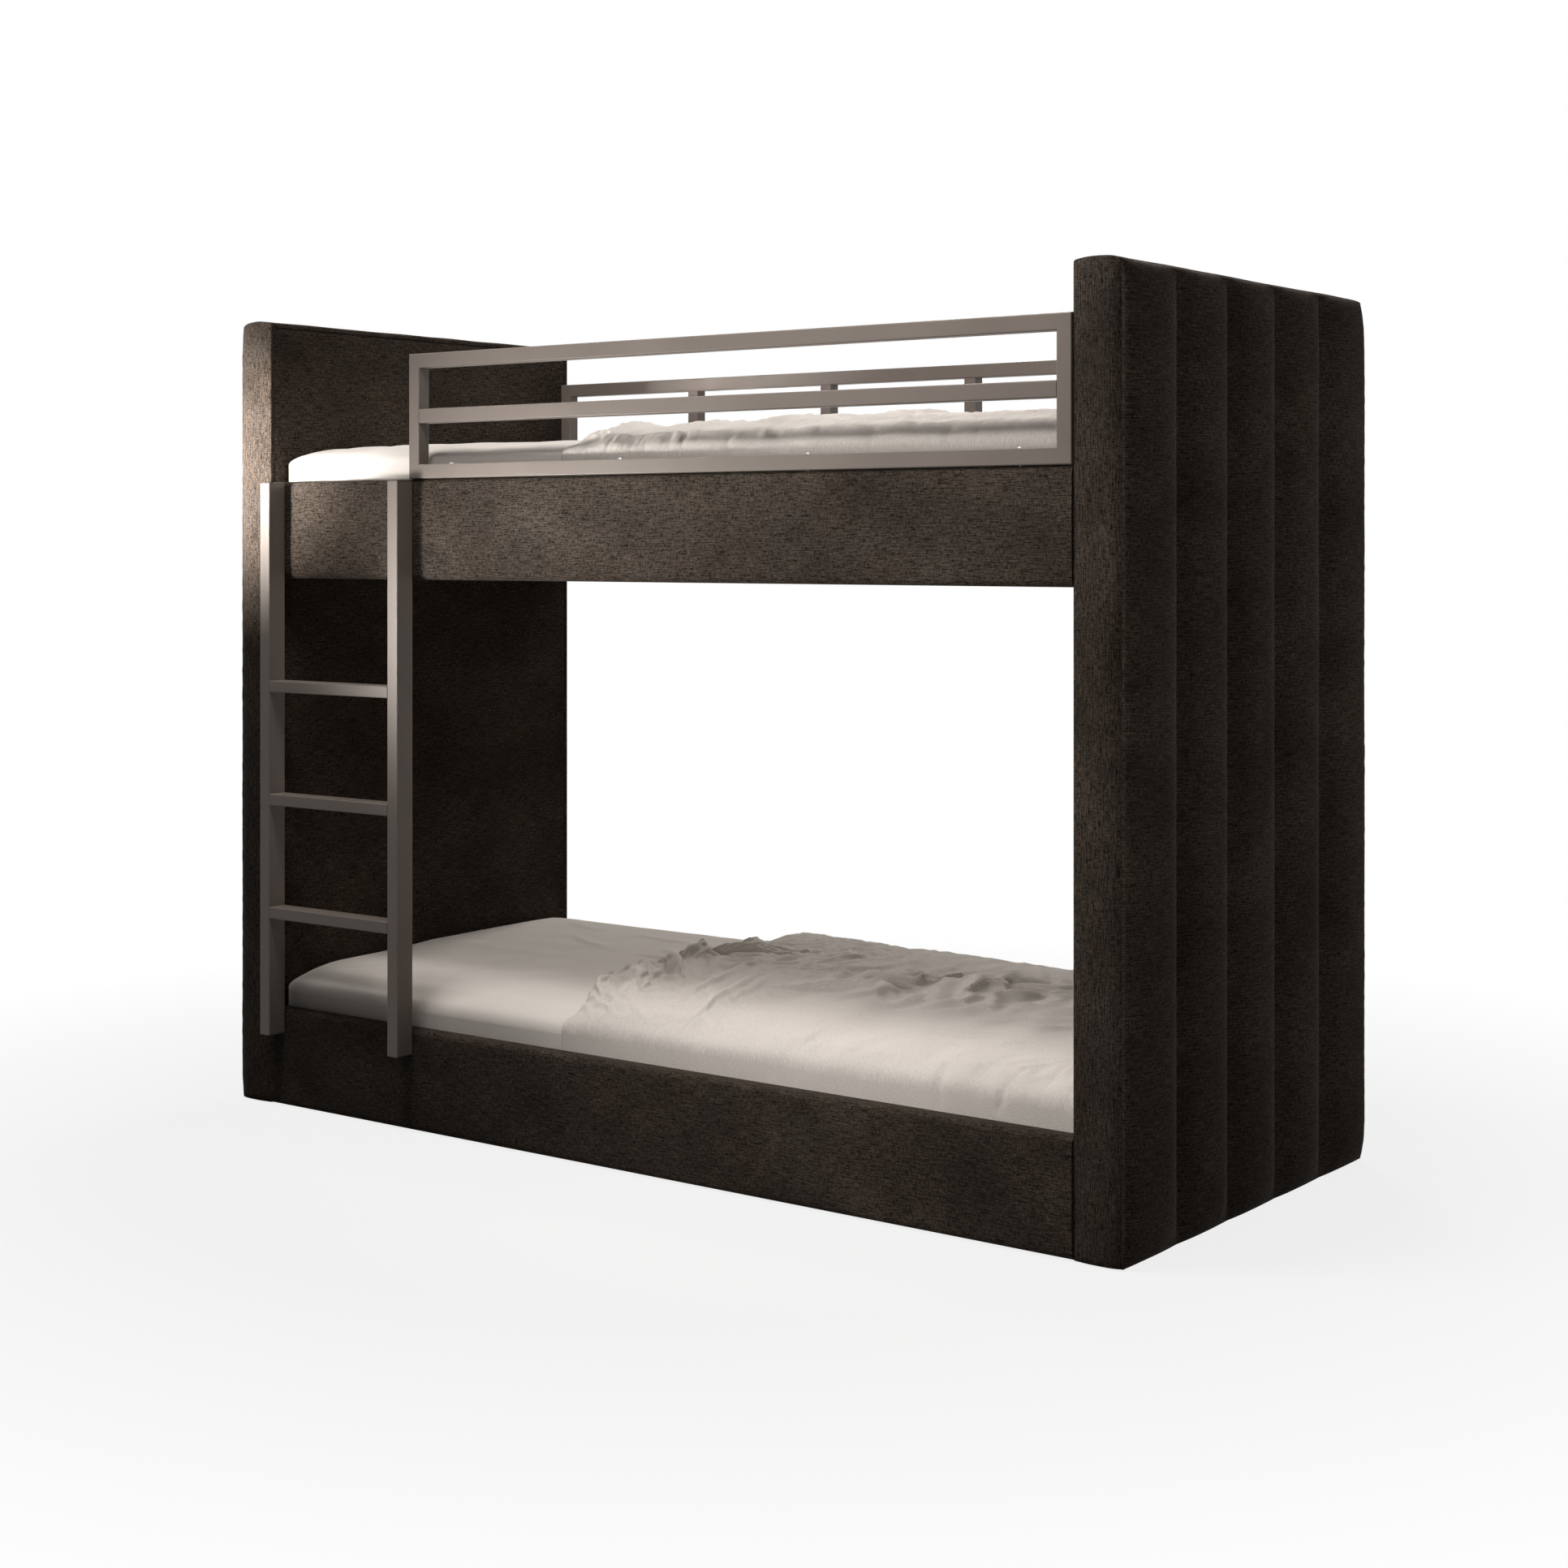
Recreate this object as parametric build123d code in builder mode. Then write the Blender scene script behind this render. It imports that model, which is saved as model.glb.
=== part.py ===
from build123d import *
import os

# An upholstered bunk bed, in millimetres. Two end panels run from the floor to above the upper
# bunk and carry both pairs of side rails. X runs along the bed, Y from front to rear and Z up.
# The origin is on the floor, in the middle of the space that the bed and its ladder take.

# The bed as a whole
inner_length = 2020.0
bed_depth = 980.0
panel_height = 1715.0
lower_rail_top = 213.0
upper_rail_drop = 354.0
glide_height = 3.0
glide_radius = 12.0
glide_edge = 1.0
glides_per_panel = 4
overrun = 20.0

# End panels, layer by layer from the sleeper's side outwards
inner_panel_thickness = 10.0
end_frame_depth = 74.0
backing_thickness = 9.0
channel_scrim = 2.0
channel_crown = 28.0
channel_count = 5
channel_draw_in = 105.0
border_pad = 14.0
border_crown = 5.0
border_corner = 4.0
inner_seam_drop = 10.0
stile_width = 80.0
cross_rail_height = 70.0

# Side rails
rail_height = 210.0
rail_thickness = 38.0
rail_front_pad = 9.0
rail_edge_pad = 5.0
rail_face_crown = 1.5
rail_edge_radius = 12.0
rail_lip_radius = 2.0
wrap_thickness = 3.0
wrap_width = 40.0

# Slats and the ledges that carry them
mattress_sink = 95.0
slat_thickness = 18.0
slat_width = 75.0
slat_count = 14
slat_end_gap = 20.0
slat_clearance = 2.0
slat_edge = 3.0
ledge_height = 40.0
ledge_depth = 25.0
ledge_end_gap = 6.0

# Brackets between rails and end panels
bracket_thickness = 3.0
bracket_rail_leg = 60.0
bracket_panel_leg = 45.0
bracket_height = 48.0
bracket_rise = 45.0
bracket_hole_inset = 12.0
bracket_bolt_reach = 28.0

# Fasteners
bolt_radius = 4.0
bolt_head_radius = 8.0
bolt_head_height = 2.5
bolt_grip = 35.0
screw_radius = 2.2
screw_head_radius = 4.5
screw_head_height = 1.8
screw_length = 20.0
guard_bolt_radius = 3.0
guard_bolt_head_radius = 6.0
guard_bolt_grip = 45.0
guard_bolt_inset = 110.0
front_guard_bolts = 4
rear_guard_bolts = 5
hole_clearance = 0.3

# Tubes of the guards and the ladder
guard_tube = 30.0
guard_height = 260.0
climb_in_width = 430.0
middle_tube_rise = 115.0
rear_post_pitch = 392.0
rear_inner_posts = 4
tube_wall = 2.0
tube_radius = 2.5
stringer_width = 30.0
stringer_depth = 45.0
stringer_overlap = 50.0
stringer_top_drop = 4.0
rung_length = 361.0
rung_height = 25.0
rung_pitch = 244.5
rung_count = 3
top_rung_drop = 431.0
ladder_side_gap = 21.0
ladder_bolt_drop = 25.0
ladder_bolt_grip = 12.0
cap_thickness = 2.5
cap_plug = 14.0

# Mattresses, fitted sheets and duvets
mattress_end_clearance = 10.0
mattress_side_clearance = 7.0
mattress_side = 95.0
mattress_shoulder = 50.0
mattress_shoulder_run = 46.0
mattress_crown = 18.0
mattress_foot_radius = 20.0
mattress_end_run = 35.0
mattress_end_drop = 10.0
mattress_end_draw = 8.0
rest_gap = 0.3
sheet_gap = 0.3
sheet_thickness = 1.2
sheet_hem_rise = 26.0
duvet_gap = 0.3
duvet_side_gap = 0.5
duvet_end_gap = 0.5
duvet_thickness = 36.0
duvet_length = 1262.0
duvet_head_skew = 66.0
duvet_tuck = 45.0
duvet_shoulder = 34.0

# Where a quarter arc's middle lies, as a share of its radius in from each tangent
bend_share = 1 - 0.5**0.5
# The padded channel in plan: each point as a share of the channel's width and of its crown
shoulder_middle_shares = (0.0415, 0.45)
shoulder_shares = (0.11, 0.70)
# How far the channels have swelled out, by share of the drawn-in length from their end
draw_in_shares = (
    (0.0, 0.18),
    (0.08, 0.44),
    (0.25, 0.71),
    (0.5, 0.9),
    (0.75, 0.98),
    (1.0, 1.0),
)
# How far a mattress's end is drawn down and in, by share of the drawn length from its end
mattress_end_shares = ((0.0, 1.0), (0.12, 0.5), (0.35, 0.17), (0.65, 0.04), (1.0, 0.0))
# The duvet along its length from the hem, and at each place its thickness at seven points
# across, as shares of its length and its full thickness
duvet_fold_shares = (
    (0.0, (0.5, 0.35, 0.3, 0.3, 0.3, 0.35, 0.5)),
    (0.03, (1.0, 0.85, 0.7, 0.75, 0.8, 0.75, 0.9)),
    (0.08, (1.15, 1.1, 0.75, 1.0, 1.35, 0.9, 1.1)),
    (0.14, (1.3, 0.8, 1.1, 1.4, 0.9, 1.3, 1.2)),
    (0.21, (1.4, 1.1, 1.35, 0.9, 1.3, 1.0, 1.3)),
    (0.29, (1.25, 0.85, 1.0, 1.3, 0.95, 1.2, 1.25)),
    (0.4, (1.2, 1.05, 0.9, 1.05, 1.2, 0.95, 1.2)),
    (0.58, (1.25, 1.0, 1.05, 0.95, 1.1, 1.05, 1.25)),
    (0.78, (1.3, 1.05, 1.0, 1.1, 1.0, 1.05, 1.3)),
    (0.93, (1.2, 1.0, 0.95, 1.0, 0.95, 1.0, 1.2)),
    (1.0, (0.3, 0.25, 0.2, 0.25, 0.2, 0.25, 0.3)),
)

# Places worked out from the sizes above
end_x = inner_length / 2
upper_rail_top = panel_height - upper_rail_drop
front_y = -(bed_depth - stringer_depth) / 2
rear_y = front_y + bed_depth
middle_y = (front_y + rear_y) / 2
mid_plane = Plane.XZ.offset(-middle_y)
frame_x = end_x + inner_panel_thickness
backing_x = frame_x + end_frame_depth
cover_x = backing_x + backing_thickness
seam_x = cover_x + channel_scrim
frame_inset = border_pad + border_crown
frame_front = front_y + frame_inset
frame_rear = rear_y - frame_inset
frame_top = panel_height - frame_inset
seam_inset = border_crown + border_corner
channel_front = front_y + seam_inset
channel_pitch = (bed_depth - 2 * seam_inset) / channel_count
channel_top = panel_height - seam_inset
core_thickness = rail_thickness - rail_front_pad - wrap_thickness
core_inner_y = front_y + rail_front_pad + core_thickness
rail_inner_y = front_y + rail_thickness
slat_rise = rail_height - mattress_sink - slat_thickness
mattress_length = inner_length - 2 * mattress_end_clearance
mattress_width = bed_depth - 2 * (rail_thickness + mattress_side_clearance)
guard_left = -end_x + climb_in_width
guard_top = upper_rail_top + guard_height
left_stringer_x = -end_x + ladder_side_gap + stringer_width / 2
right_stringer_x = left_stringer_x + rung_length + stringer_width
levels = {"lower": lower_rail_top - rail_height, "upper": upper_rail_top - rail_height}

os.makedirs("parts", exist_ok=True)


def save(piece, name):
    """Names a finished piece and writes it."""
    piece.part.label = name
    export_step(piece.part, f"parts/{name}.step")


def save_both_ends(right, name):
    """Writes a piece of the right-hand end panel, and its mirror image as the left-hand one."""
    save(right, f"right_{name}")
    with BuildPart() as left:
        mirror(right.part, about=Plane.YZ)
    save(left, f"left_{name}")


def fasteners(seats, radius, length, head_radius, head_height):
    """One headed fastener at each seat plane, whose normal points out through the head."""
    low = (Align.CENTER, Align.CENTER, Align.MIN)
    high = (Align.CENTER, Align.CENTER, Align.MAX)
    with Locations(*seats):
        Cylinder(head_radius, head_height, align=low)
        Cylinder(radius, length, align=high)


def bore(seats, radius, length):
    """Clears the shanks of the fasteners that sit at the seat planes."""
    with Locations(*seats):
        Cylinder(radius + hole_clearance, 2 * (length + overrun), mode=Mode.SUBTRACT)


# Where each fastener's head sits, and which way it points
panel_bolt_seats = [
    Plane(
        origin=(
            side * (end_x - bracket_thickness),
            middle_y + row * (middle_y - core_inner_y - bracket_bolt_reach),
            bottom + bracket_rise + height,
        ),
        z_dir=(-side, 0, 0),
    )
    for side in (-1, 1)
    for row in (-1, 1)
    for bottom in levels.values()
    for height in (bracket_hole_inset, bracket_height - bracket_hole_inset)
]
bracket_screw_seats = [
    Plane(
        origin=(
            side * (end_x - reach),
            middle_y + row * (middle_y - core_inner_y - bracket_thickness),
            bottom + bracket_rise + height,
        ),
        z_dir=(0, -row, 0),
    )
    for side in (-1, 1)
    for row in (-1, 1)
    for bottom in levels.values()
    for reach, height in (
        (2 * bracket_hole_inset, bracket_hole_inset),
        (bracket_rail_leg - bracket_hole_inset, bracket_height - bracket_hole_inset),
    )
]
ladder_bolt_seats = [
    Plane(origin=(x, rail_inner_y, bottom + rail_height - ladder_bolt_drop), z_dir=(0, 1, 0))
    for x in (left_stringer_x, right_stringer_x)
    for bottom in levels.values()
]
front_guard_run = end_x - guard_left - 2 * guard_bolt_inset
rear_guard_run = inner_length - 2 * guard_bolt_inset
guard_bolt_seats = [
    Plane(origin=(x, y, upper_rail_top + guard_tube), z_dir=(0, 0, 1))
    for y, start, run, count in (
        (front_y + guard_tube / 2, guard_left + guard_bolt_inset, front_guard_run, front_guard_bolts),
        (rear_y - guard_tube / 2, -end_x + guard_bolt_inset, rear_guard_run, rear_guard_bolts),
    )
    for x in (start + run * n / (count - 1) for n in range(count))
]

# End panels. The right-hand one is made and the left-hand one mirrored from it.

# Timber frame, with a stile behind each pair of rail brackets
frame_width = frame_rear - frame_front
frame_height = frame_top - glide_height
cross_rails = (
    glide_height + cross_rail_height / 2,
    (lower_rail_top + upper_rail_top - rail_height) / 2,
    upper_rail_top - rail_height / 2,
    frame_top - cross_rail_height / 2,
)
with BuildPart() as end_frame:
    with BuildSketch(Plane.YZ.offset(frame_x)):
        with Locations((middle_y, glide_height + frame_height / 2)):
            Rectangle(frame_width, frame_height)
        for below, above in zip(cross_rails, cross_rails[1:]):
            with Locations((middle_y, (below + above) / 2)):
                Rectangle(
                    frame_width - 2 * stile_width,
                    above - below - cross_rail_height,
                    mode=Mode.SUBTRACT,
                )
    extrude(amount=end_frame_depth)
    bore(panel_bolt_seats, bolt_radius, bolt_grip - overrun)
save_both_ends(end_frame, "end_frame")

# Backing board, which the channelled face is stretched over
with BuildPart() as end_backing:
    with BuildSketch(Plane.YZ.offset(backing_x)):
        with Locations((middle_y, glide_height + frame_height / 2)):
            Rectangle(frame_width, frame_height)
    extrude(amount=backing_thickness)
save_both_ends(end_backing, "end_backing_board")

# Inner face, a thinly padded board inside the border's seam
inner_seam = border_pad - inner_seam_drop
with BuildPart() as end_inner:
    with BuildSketch(Plane.YZ.offset(end_x)):
        with Locations((middle_y, glide_height)):
            Rectangle(
                frame_width + 2 * inner_seam,
                frame_height + inner_seam,
                align=(Align.CENTER, Align.MIN),
            )
    extrude(amount=inner_panel_thickness)
    bore(panel_bolt_seats, bolt_radius, bolt_grip)
save_both_ends(end_inner, "end_inner_face")

# Border strip: one crowned section, mitred round the front, top and rear of the frame
with BuildPart() as end_border:
    with BuildSketch(Plane.XY.offset(glide_height)) as border_section:
        with BuildLine():
            crown = ThreePointArc(
                (end_x, frame_front - border_pad),
                ((end_x + cover_x) / 2, frame_front - frame_inset),
                (cover_x, frame_front - border_pad),
            )
            Polyline(
                crown @ 1,
                (cover_x, frame_front),
                (frame_x, frame_front),
                (frame_x, frame_front - inner_seam),
                (end_x, frame_front - inner_seam),
                crown @ 0,
            )
        make_face()
        outer_corner = border_section.vertices().sort_by(Axis.X)[-2:].sort_by(Axis.Y)[:1]
        fillet(outer_corner, border_corner)
    with BuildLine() as border_path:
        Polyline(
            (frame_x, frame_front, glide_height),
            (frame_x, frame_front, frame_top),
            (frame_x, frame_rear, frame_top),
            (frame_x, frame_rear, glide_height),
        )
    sweep(path=border_path.wires()[0], transition=Transition.RIGHT)
save_both_ends(end_border, "end_border")


def channel_section(height, swell):
    """Plan of the channelled face at a height, with its crowns swelled to a share."""
    crown = channel_crown * swell
    with BuildSketch(Plane.XY.offset(height)) as section:
        with BuildLine():
            for n in range(channel_count):
                near = channel_front + n * channel_pitch
                far = near + channel_pitch

                def place(y, direction, shares):
                    """A point of the channel, measured in from the seam at y."""
                    along, out = shares
                    return (seam_x + out * crown, y + direction * along * channel_pitch)

                ThreePointArc(
                    (seam_x, near),
                    place(near, 1, shoulder_middle_shares),
                    place(near, 1, shoulder_shares),
                )
                ThreePointArc(
                    place(near, 1, shoulder_shares),
                    (seam_x + crown, (near + far) / 2),
                    place(far, -1, shoulder_shares),
                )
                ThreePointArc(
                    place(far, -1, shoulder_shares),
                    place(far, -1, shoulder_middle_shares),
                    (seam_x, far),
                )
            channel_rear = channel_front + channel_count * channel_pitch
            Polyline(
                (seam_x, channel_rear),
                (cover_x, channel_rear),
                (cover_x, channel_front),
                (seam_x, channel_front),
            )
        make_face()
    return section.sketch


# Channelled outer face, drawn in at the floor and under the top edge
with BuildPart() as end_channels:
    straight = channel_section(glide_height + channel_draw_in, draw_in_shares[-1][1])
    extrude(straight, amount=channel_top - glide_height - 2 * channel_draw_in)
    for end, way in ((glide_height, 1), (channel_top, -1)):
        loft(
            [
                channel_section(end + way * along * channel_draw_in, swell)
                for along, swell in draw_in_shares
            ]
        )
save_both_ends(end_channels, "end_channels")

# Glides under both end panels
glide_pitch = (frame_width - stile_width) / (glides_per_panel - 1)
with BuildPart() as end_glides:
    with BuildSketch(Plane.XY):
        with Locations((0, middle_y)):
            with GridLocations(2 * frame_x + end_frame_depth, glide_pitch, 2, glides_per_panel):
                Circle(glide_radius)
    extrude(amount=glide_height)
    chamfer(end_glides.faces().sort_by(Axis.Z)[: 2 * glides_per_panel].edges(), glide_edge)
save(end_glides, "end_glides")

# Side rails. Each front rail is made and the rear one mirrored from it.
for level, bottom in levels.items():
    rail_middle = bottom + rail_height / 2

    # Timber core
    with BuildPart() as rail_core:
        with BuildSketch(Plane.YZ):
            with Locations((front_y + rail_front_pad + core_thickness / 2, rail_middle)):
                Rectangle(core_thickness, rail_height - 2 * rail_edge_pad)
        extrude(amount=end_x, both=True)
    with BuildPart() as front_core:
        add(rail_core.part)
        bore(ladder_bolt_seats, bolt_radius, rail_thickness)
        bore(bracket_screw_seats, screw_radius, screw_length - overrun)
        bore(guard_bolt_seats, guard_bolt_radius, guard_tube + guard_bolt_grip - overrun)
    save(front_core, f"{level}_front_rail_core")
    with BuildPart() as rear_core:
        mirror(rail_core.part, about=mid_plane)
        bore(bracket_screw_seats, screw_radius, screw_length - overrun)
        bore(guard_bolt_seats, guard_bolt_radius, guard_tube + guard_bolt_grip - overrun)
    save(rear_core, f"{level}_rear_rail_core")

    # Padded cover, wrapped round the core and turned in on its inner face
    face_y = front_y + rail_face_crown
    edge_bend = bend_share * rail_edge_radius
    with BuildPart() as rail_cover:
        with BuildSketch(Plane.YZ) as cover_section:
            with BuildLine():
                face = ThreePointArc(
                    (face_y, bottom + rail_edge_radius),
                    (front_y, rail_middle),
                    (face_y, bottom + rail_height - rail_edge_radius),
                )
                top = ThreePointArc(
                    face @ 1,
                    (face_y + edge_bend, bottom + rail_height - edge_bend),
                    (face_y + rail_edge_radius, bottom + rail_height),
                )
                foot = ThreePointArc(
                    (face_y + rail_edge_radius, bottom),
                    (face_y + edge_bend, bottom + edge_bend),
                    face @ 0,
                )
                Polyline(
                    top @ 1,
                    (rail_inner_y, bottom + rail_height),
                    (rail_inner_y, bottom),
                    foot @ 0,
                )
            make_face()
            fillet(cover_section.vertices().sort_by(Axis.X)[-2:], rail_lip_radius)
            with Locations((front_y + rail_front_pad, rail_middle)):
                Rectangle(
                    core_thickness,
                    rail_height - 2 * rail_edge_pad,
                    align=(Align.MIN, Align.CENTER),
                    mode=Mode.SUBTRACT,
                )
            with Locations((core_inner_y, rail_middle)):
                Rectangle(
                    overrun,
                    rail_height - 2 * wrap_width,
                    align=(Align.MIN, Align.CENTER),
                    mode=Mode.SUBTRACT,
                )
        extrude(amount=end_x, both=True)
    with BuildPart() as front_cover:
        add(rail_cover.part)
        bore(ladder_bolt_seats, bolt_radius, rail_thickness)
        bore(guard_bolt_seats, guard_bolt_radius, guard_tube + guard_bolt_grip - overrun)
    save(front_cover, f"{level}_front_rail_cover")
    with BuildPart() as rear_cover:
        mirror(rail_cover.part, about=mid_plane)
        bore(guard_bolt_seats, guard_bolt_radius, guard_tube + guard_bolt_grip - overrun)
    save(rear_cover, f"{level}_rear_rail_cover")

    # Ledges along both rails, stopping short of the brackets
    ledge_length = inner_length - 2 * (bracket_rail_leg + ledge_end_gap)
    slat_bottom = bottom + slat_rise
    with BuildPart() as slat_ledges:
        with BuildSketch(Plane.YZ):
            with Locations((core_inner_y, slat_bottom)):
                Rectangle(ledge_depth, ledge_height, align=(Align.MIN, Align.MAX))
        extrude(amount=ledge_length / 2, both=True)
        mirror(about=mid_plane)
    save(slat_ledges, f"{level}_slat_ledges")

    # Slats, resting on the ledges
    slat_pitch = (inner_length - slat_width - 2 * slat_end_gap) / (slat_count - 1)
    slat_length = 2 * (middle_y - core_inner_y - slat_clearance)
    with BuildPart() as slats:
        with BuildSketch(Plane.XZ.offset(-middle_y)):
            with Locations((0, slat_bottom + slat_thickness / 2)):
                with GridLocations(slat_pitch, 0, slat_count, 1):
                    RectangleRounded(slat_width, slat_thickness, slat_edge)
        extrude(amount=slat_length / 2, both=True)
    save(slats, f"{level}_slats")

# Steel angles in the four corners of each level
with BuildPart() as rail_brackets:
    for bottom in levels.values():
        with BuildSketch(Plane.XY.offset(bottom + bracket_rise)):
            with Locations((end_x, core_inner_y)):
                Rectangle(bracket_rail_leg, bracket_thickness, align=(Align.MAX, Align.MIN))
                Rectangle(bracket_thickness, bracket_panel_leg, align=(Align.MAX, Align.MIN))
        extrude(amount=bracket_height)
    mirror(about=mid_plane)
    mirror(about=Plane.YZ)
    bore(panel_bolt_seats, bolt_radius, bracket_thickness)
    bore(bracket_screw_seats, screw_radius, bracket_thickness)
save(rail_brackets, "rail_brackets")

# Fasteners, each kind in one group
with BuildPart() as panel_bolts:
    fasteners(panel_bolt_seats, bolt_radius, bolt_grip, bolt_head_radius, bolt_head_height)
save(panel_bolts, "panel_bolts")

with BuildPart() as bracket_screws:
    fasteners(
        bracket_screw_seats, screw_radius, screw_length, screw_head_radius, screw_head_height
    )
save(bracket_screws, "bracket_screws")

with BuildPart() as ladder_bolts:
    fasteners(
        ladder_bolt_seats,
        bolt_radius,
        rail_thickness + ladder_bolt_grip,
        bolt_head_radius,
        bolt_head_height,
    )
save(ladder_bolts, "ladder_bolts")

with BuildPart() as guard_bolts:
    fasteners(
        guard_bolt_seats,
        guard_bolt_radius,
        guard_tube + guard_bolt_grip,
        guard_bolt_head_radius,
        bolt_head_height,
    )
save(guard_bolts, "guard_bolts")


# Tubes of the guards and the ladder


def tube_section(plane, width, depth):
    """Wall of a rectangular tube, centred on a plane."""
    with BuildSketch(plane) as section:
        RectangleRounded(width, depth, tube_radius)
        Rectangle(width - 2 * tube_wall, depth - 2 * tube_wall, mode=Mode.SUBTRACT)
    return section.sketch


def level_tube(left, right, y, z):
    """A guard tube along the bed, cut square."""
    plane = Plane(origin=(left, y, z), x_dir=(0, 1, 0), z_dir=(1, 0, 0))
    extrude(tube_section(plane, guard_tube, guard_tube), amount=right - left)


def upright_tube(x, y, foot, head):
    """A guard post, cut square."""
    plane = Plane(origin=(x, y, foot), z_dir=(0, 0, 1))
    extrude(tube_section(plane, guard_tube, guard_tube), amount=head - foot)


def mitre(x, z, across, up):
    """Cutting plane through an outer corner of a guard at 45 degrees."""
    return Plane(origin=(x, middle_y, z), z_dir=(across, 0, up))


def guard_frame(left, right, y, name):
    """Top tube, bottom tube and two end posts, mitred at the four corners."""
    half = guard_tube / 2
    foot, head = upper_rail_top, guard_top
    cuts = {
        "top": (mitre(left, head, 1, 1), mitre(right, head, -1, 1)),
        "bottom": (mitre(left, foot, 1, -1), mitre(right, foot, -1, -1)),
    }
    for place, z in (("top", head - half), ("bottom", foot + half)):
        with BuildPart() as tube:
            level_tube(left, right, y, z)
            for cut in cuts[place]:
                split(bisect_by=cut, keep=Keep.TOP)
            if place == "bottom":
                bore(guard_bolt_seats, guard_bolt_radius, guard_tube)
        save(tube, f"{name}_{place}_tube")
    for side, place, x in ((0, "left", left + half), (1, "right", right - half)):
        with BuildPart() as post:
            upright_tube(x, y, foot, head)
            for pair in cuts.values():
                split(bisect_by=pair[side], keep=Keep.BOTTOM)
        save(post, f"{name}_{place}_post")


front_guard_y = front_y + guard_tube / 2
rear_guard_y = rear_y - guard_tube / 2
guard_frame(guard_left, end_x, front_guard_y, "front_guard")
guard_frame(-end_x, end_x, rear_guard_y, "rear_guard")

# Middle tube of the front guard, butted between its posts
with BuildPart() as middle_tube:
    level_tube(
        guard_left + guard_tube,
        end_x - guard_tube,
        front_guard_y,
        upper_rail_top + middle_tube_rise + guard_tube / 2,
    )
save(middle_tube, "front_guard_middle_tube")

# Inner posts of the rear guard, butted between its top and bottom tubes
with BuildPart() as inner_posts:
    for n in range(rear_inner_posts):
        upright_tube(
            rear_post_pitch * (n - (rear_inner_posts - 1) / 2),
            rear_guard_y,
            upper_rail_top + guard_tube,
            guard_top - guard_tube,
        )
save(inner_posts, "rear_guard_inner_posts")

# Ladder: stringers against the front rails, with rungs welded between them
stringer_top = upper_rail_top - stringer_top_drop
stringer_foot = lower_rail_top - stringer_overlap
stringer_y = front_y - stringer_depth / 2
for side, x in (("left", left_stringer_x), ("right", right_stringer_x)):
    foot = Plane(origin=(x, stringer_y, stringer_foot + cap_thickness), z_dir=(0, 0, 1))
    with BuildPart() as stringer:
        extrude(
            tube_section(foot, stringer_width, stringer_depth),
            amount=stringer_top - stringer_foot - 2 * cap_thickness,
        )
        bore(ladder_bolt_seats, bolt_radius, rail_thickness + ladder_bolt_grip - overrun)
    save(stringer, f"ladder_{side}_stringer")

for n in range(rung_count):
    rung_z = upper_rail_top - top_rung_drop - n * rung_pitch - rung_height / 2
    rung_start = left_stringer_x + stringer_width / 2
    plane = Plane(origin=(rung_start, stringer_y, rung_z), x_dir=(0, 1, 0), z_dir=(1, 0, 0))
    with BuildPart() as rung:
        extrude(tube_section(plane, stringer_depth, rung_height), amount=rung_length)
    save(rung, f"ladder_rung_{n + 1}")

# Caps in the open ends of the stringers
cap_slack = 2 * (tube_wall + hole_clearance)
with BuildPart() as end_caps:
    for x in (left_stringer_x, right_stringer_x):
        for z, inward in ((stringer_top, -1), (stringer_foot, 1)):
            cap_plane = Plane(origin=(x, stringer_y, z), x_dir=(1, 0, 0), z_dir=(0, 0, inward))
            with BuildSketch(cap_plane):
                RectangleRounded(stringer_width, stringer_depth, tube_radius)
            extrude(amount=cap_thickness)
            with BuildSketch(cap_plane):
                Rectangle(stringer_width - cap_slack, stringer_depth - cap_slack)
            extrude(amount=cap_thickness + cap_plug)
save(end_caps, "ladder_end_caps")

# Bedding


def crown_height(y, grow):
    """Height of the mattress's crown over its shoulders, at a distance from its centre line."""
    half = mattress_width / 2 + grow - mattress_shoulder_run
    return mattress_crown * (1 - (y / half) ** 2)


def mattress_top(base, grow, ease):
    """Seven points over a mattress from its front side to its rear side, for three arcs."""
    half = mattress_width / 2 + grow - ease * mattress_end_draw
    side_top = base + mattress_foot_radius + mattress_side + grow - ease * mattress_end_drop
    shoulder_z = side_top + mattress_shoulder
    out = (
        (half, side_top),
        (half - bend_share * mattress_shoulder_run, shoulder_z - bend_share * mattress_shoulder),
        (half - mattress_shoulder_run, shoulder_z),
    )
    return [
        *((middle_y - y, z) for y, z in out),
        (middle_y, shoulder_z + mattress_crown),
        *((middle_y + y, z) for y, z in reversed(out)),
    ]


def arcs_through(points):
    """Arcs through three points at a time, each starting where the last one ends."""
    for start in range(0, len(points) - 1, 2):
        ThreePointArc(*points[start : start + 3])


def mattress_section(x, base, grow, ease):
    """Cross-section of a crowned mattress at x, larger all round, but not underneath, by grow."""
    top = mattress_top(base, grow, ease)
    radius = mattress_foot_radius
    bend = bend_share * radius
    with BuildSketch(Plane.YZ.offset(x)) as section:
        with BuildLine():
            arcs_through(top)
            for way, edge in ((1, top[0]), (-1, top[-1])):
                edge_y = edge[0]
                Line(edge, (edge_y, base + radius))
                ThreePointArc(
                    (edge_y, base + radius),
                    (edge_y + way * bend, base + bend),
                    (edge_y + way * radius, base),
                )
            Line((top[0][0] + radius, base), (top[-1][0] - radius, base))
        make_face()
    return section.sketch


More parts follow.
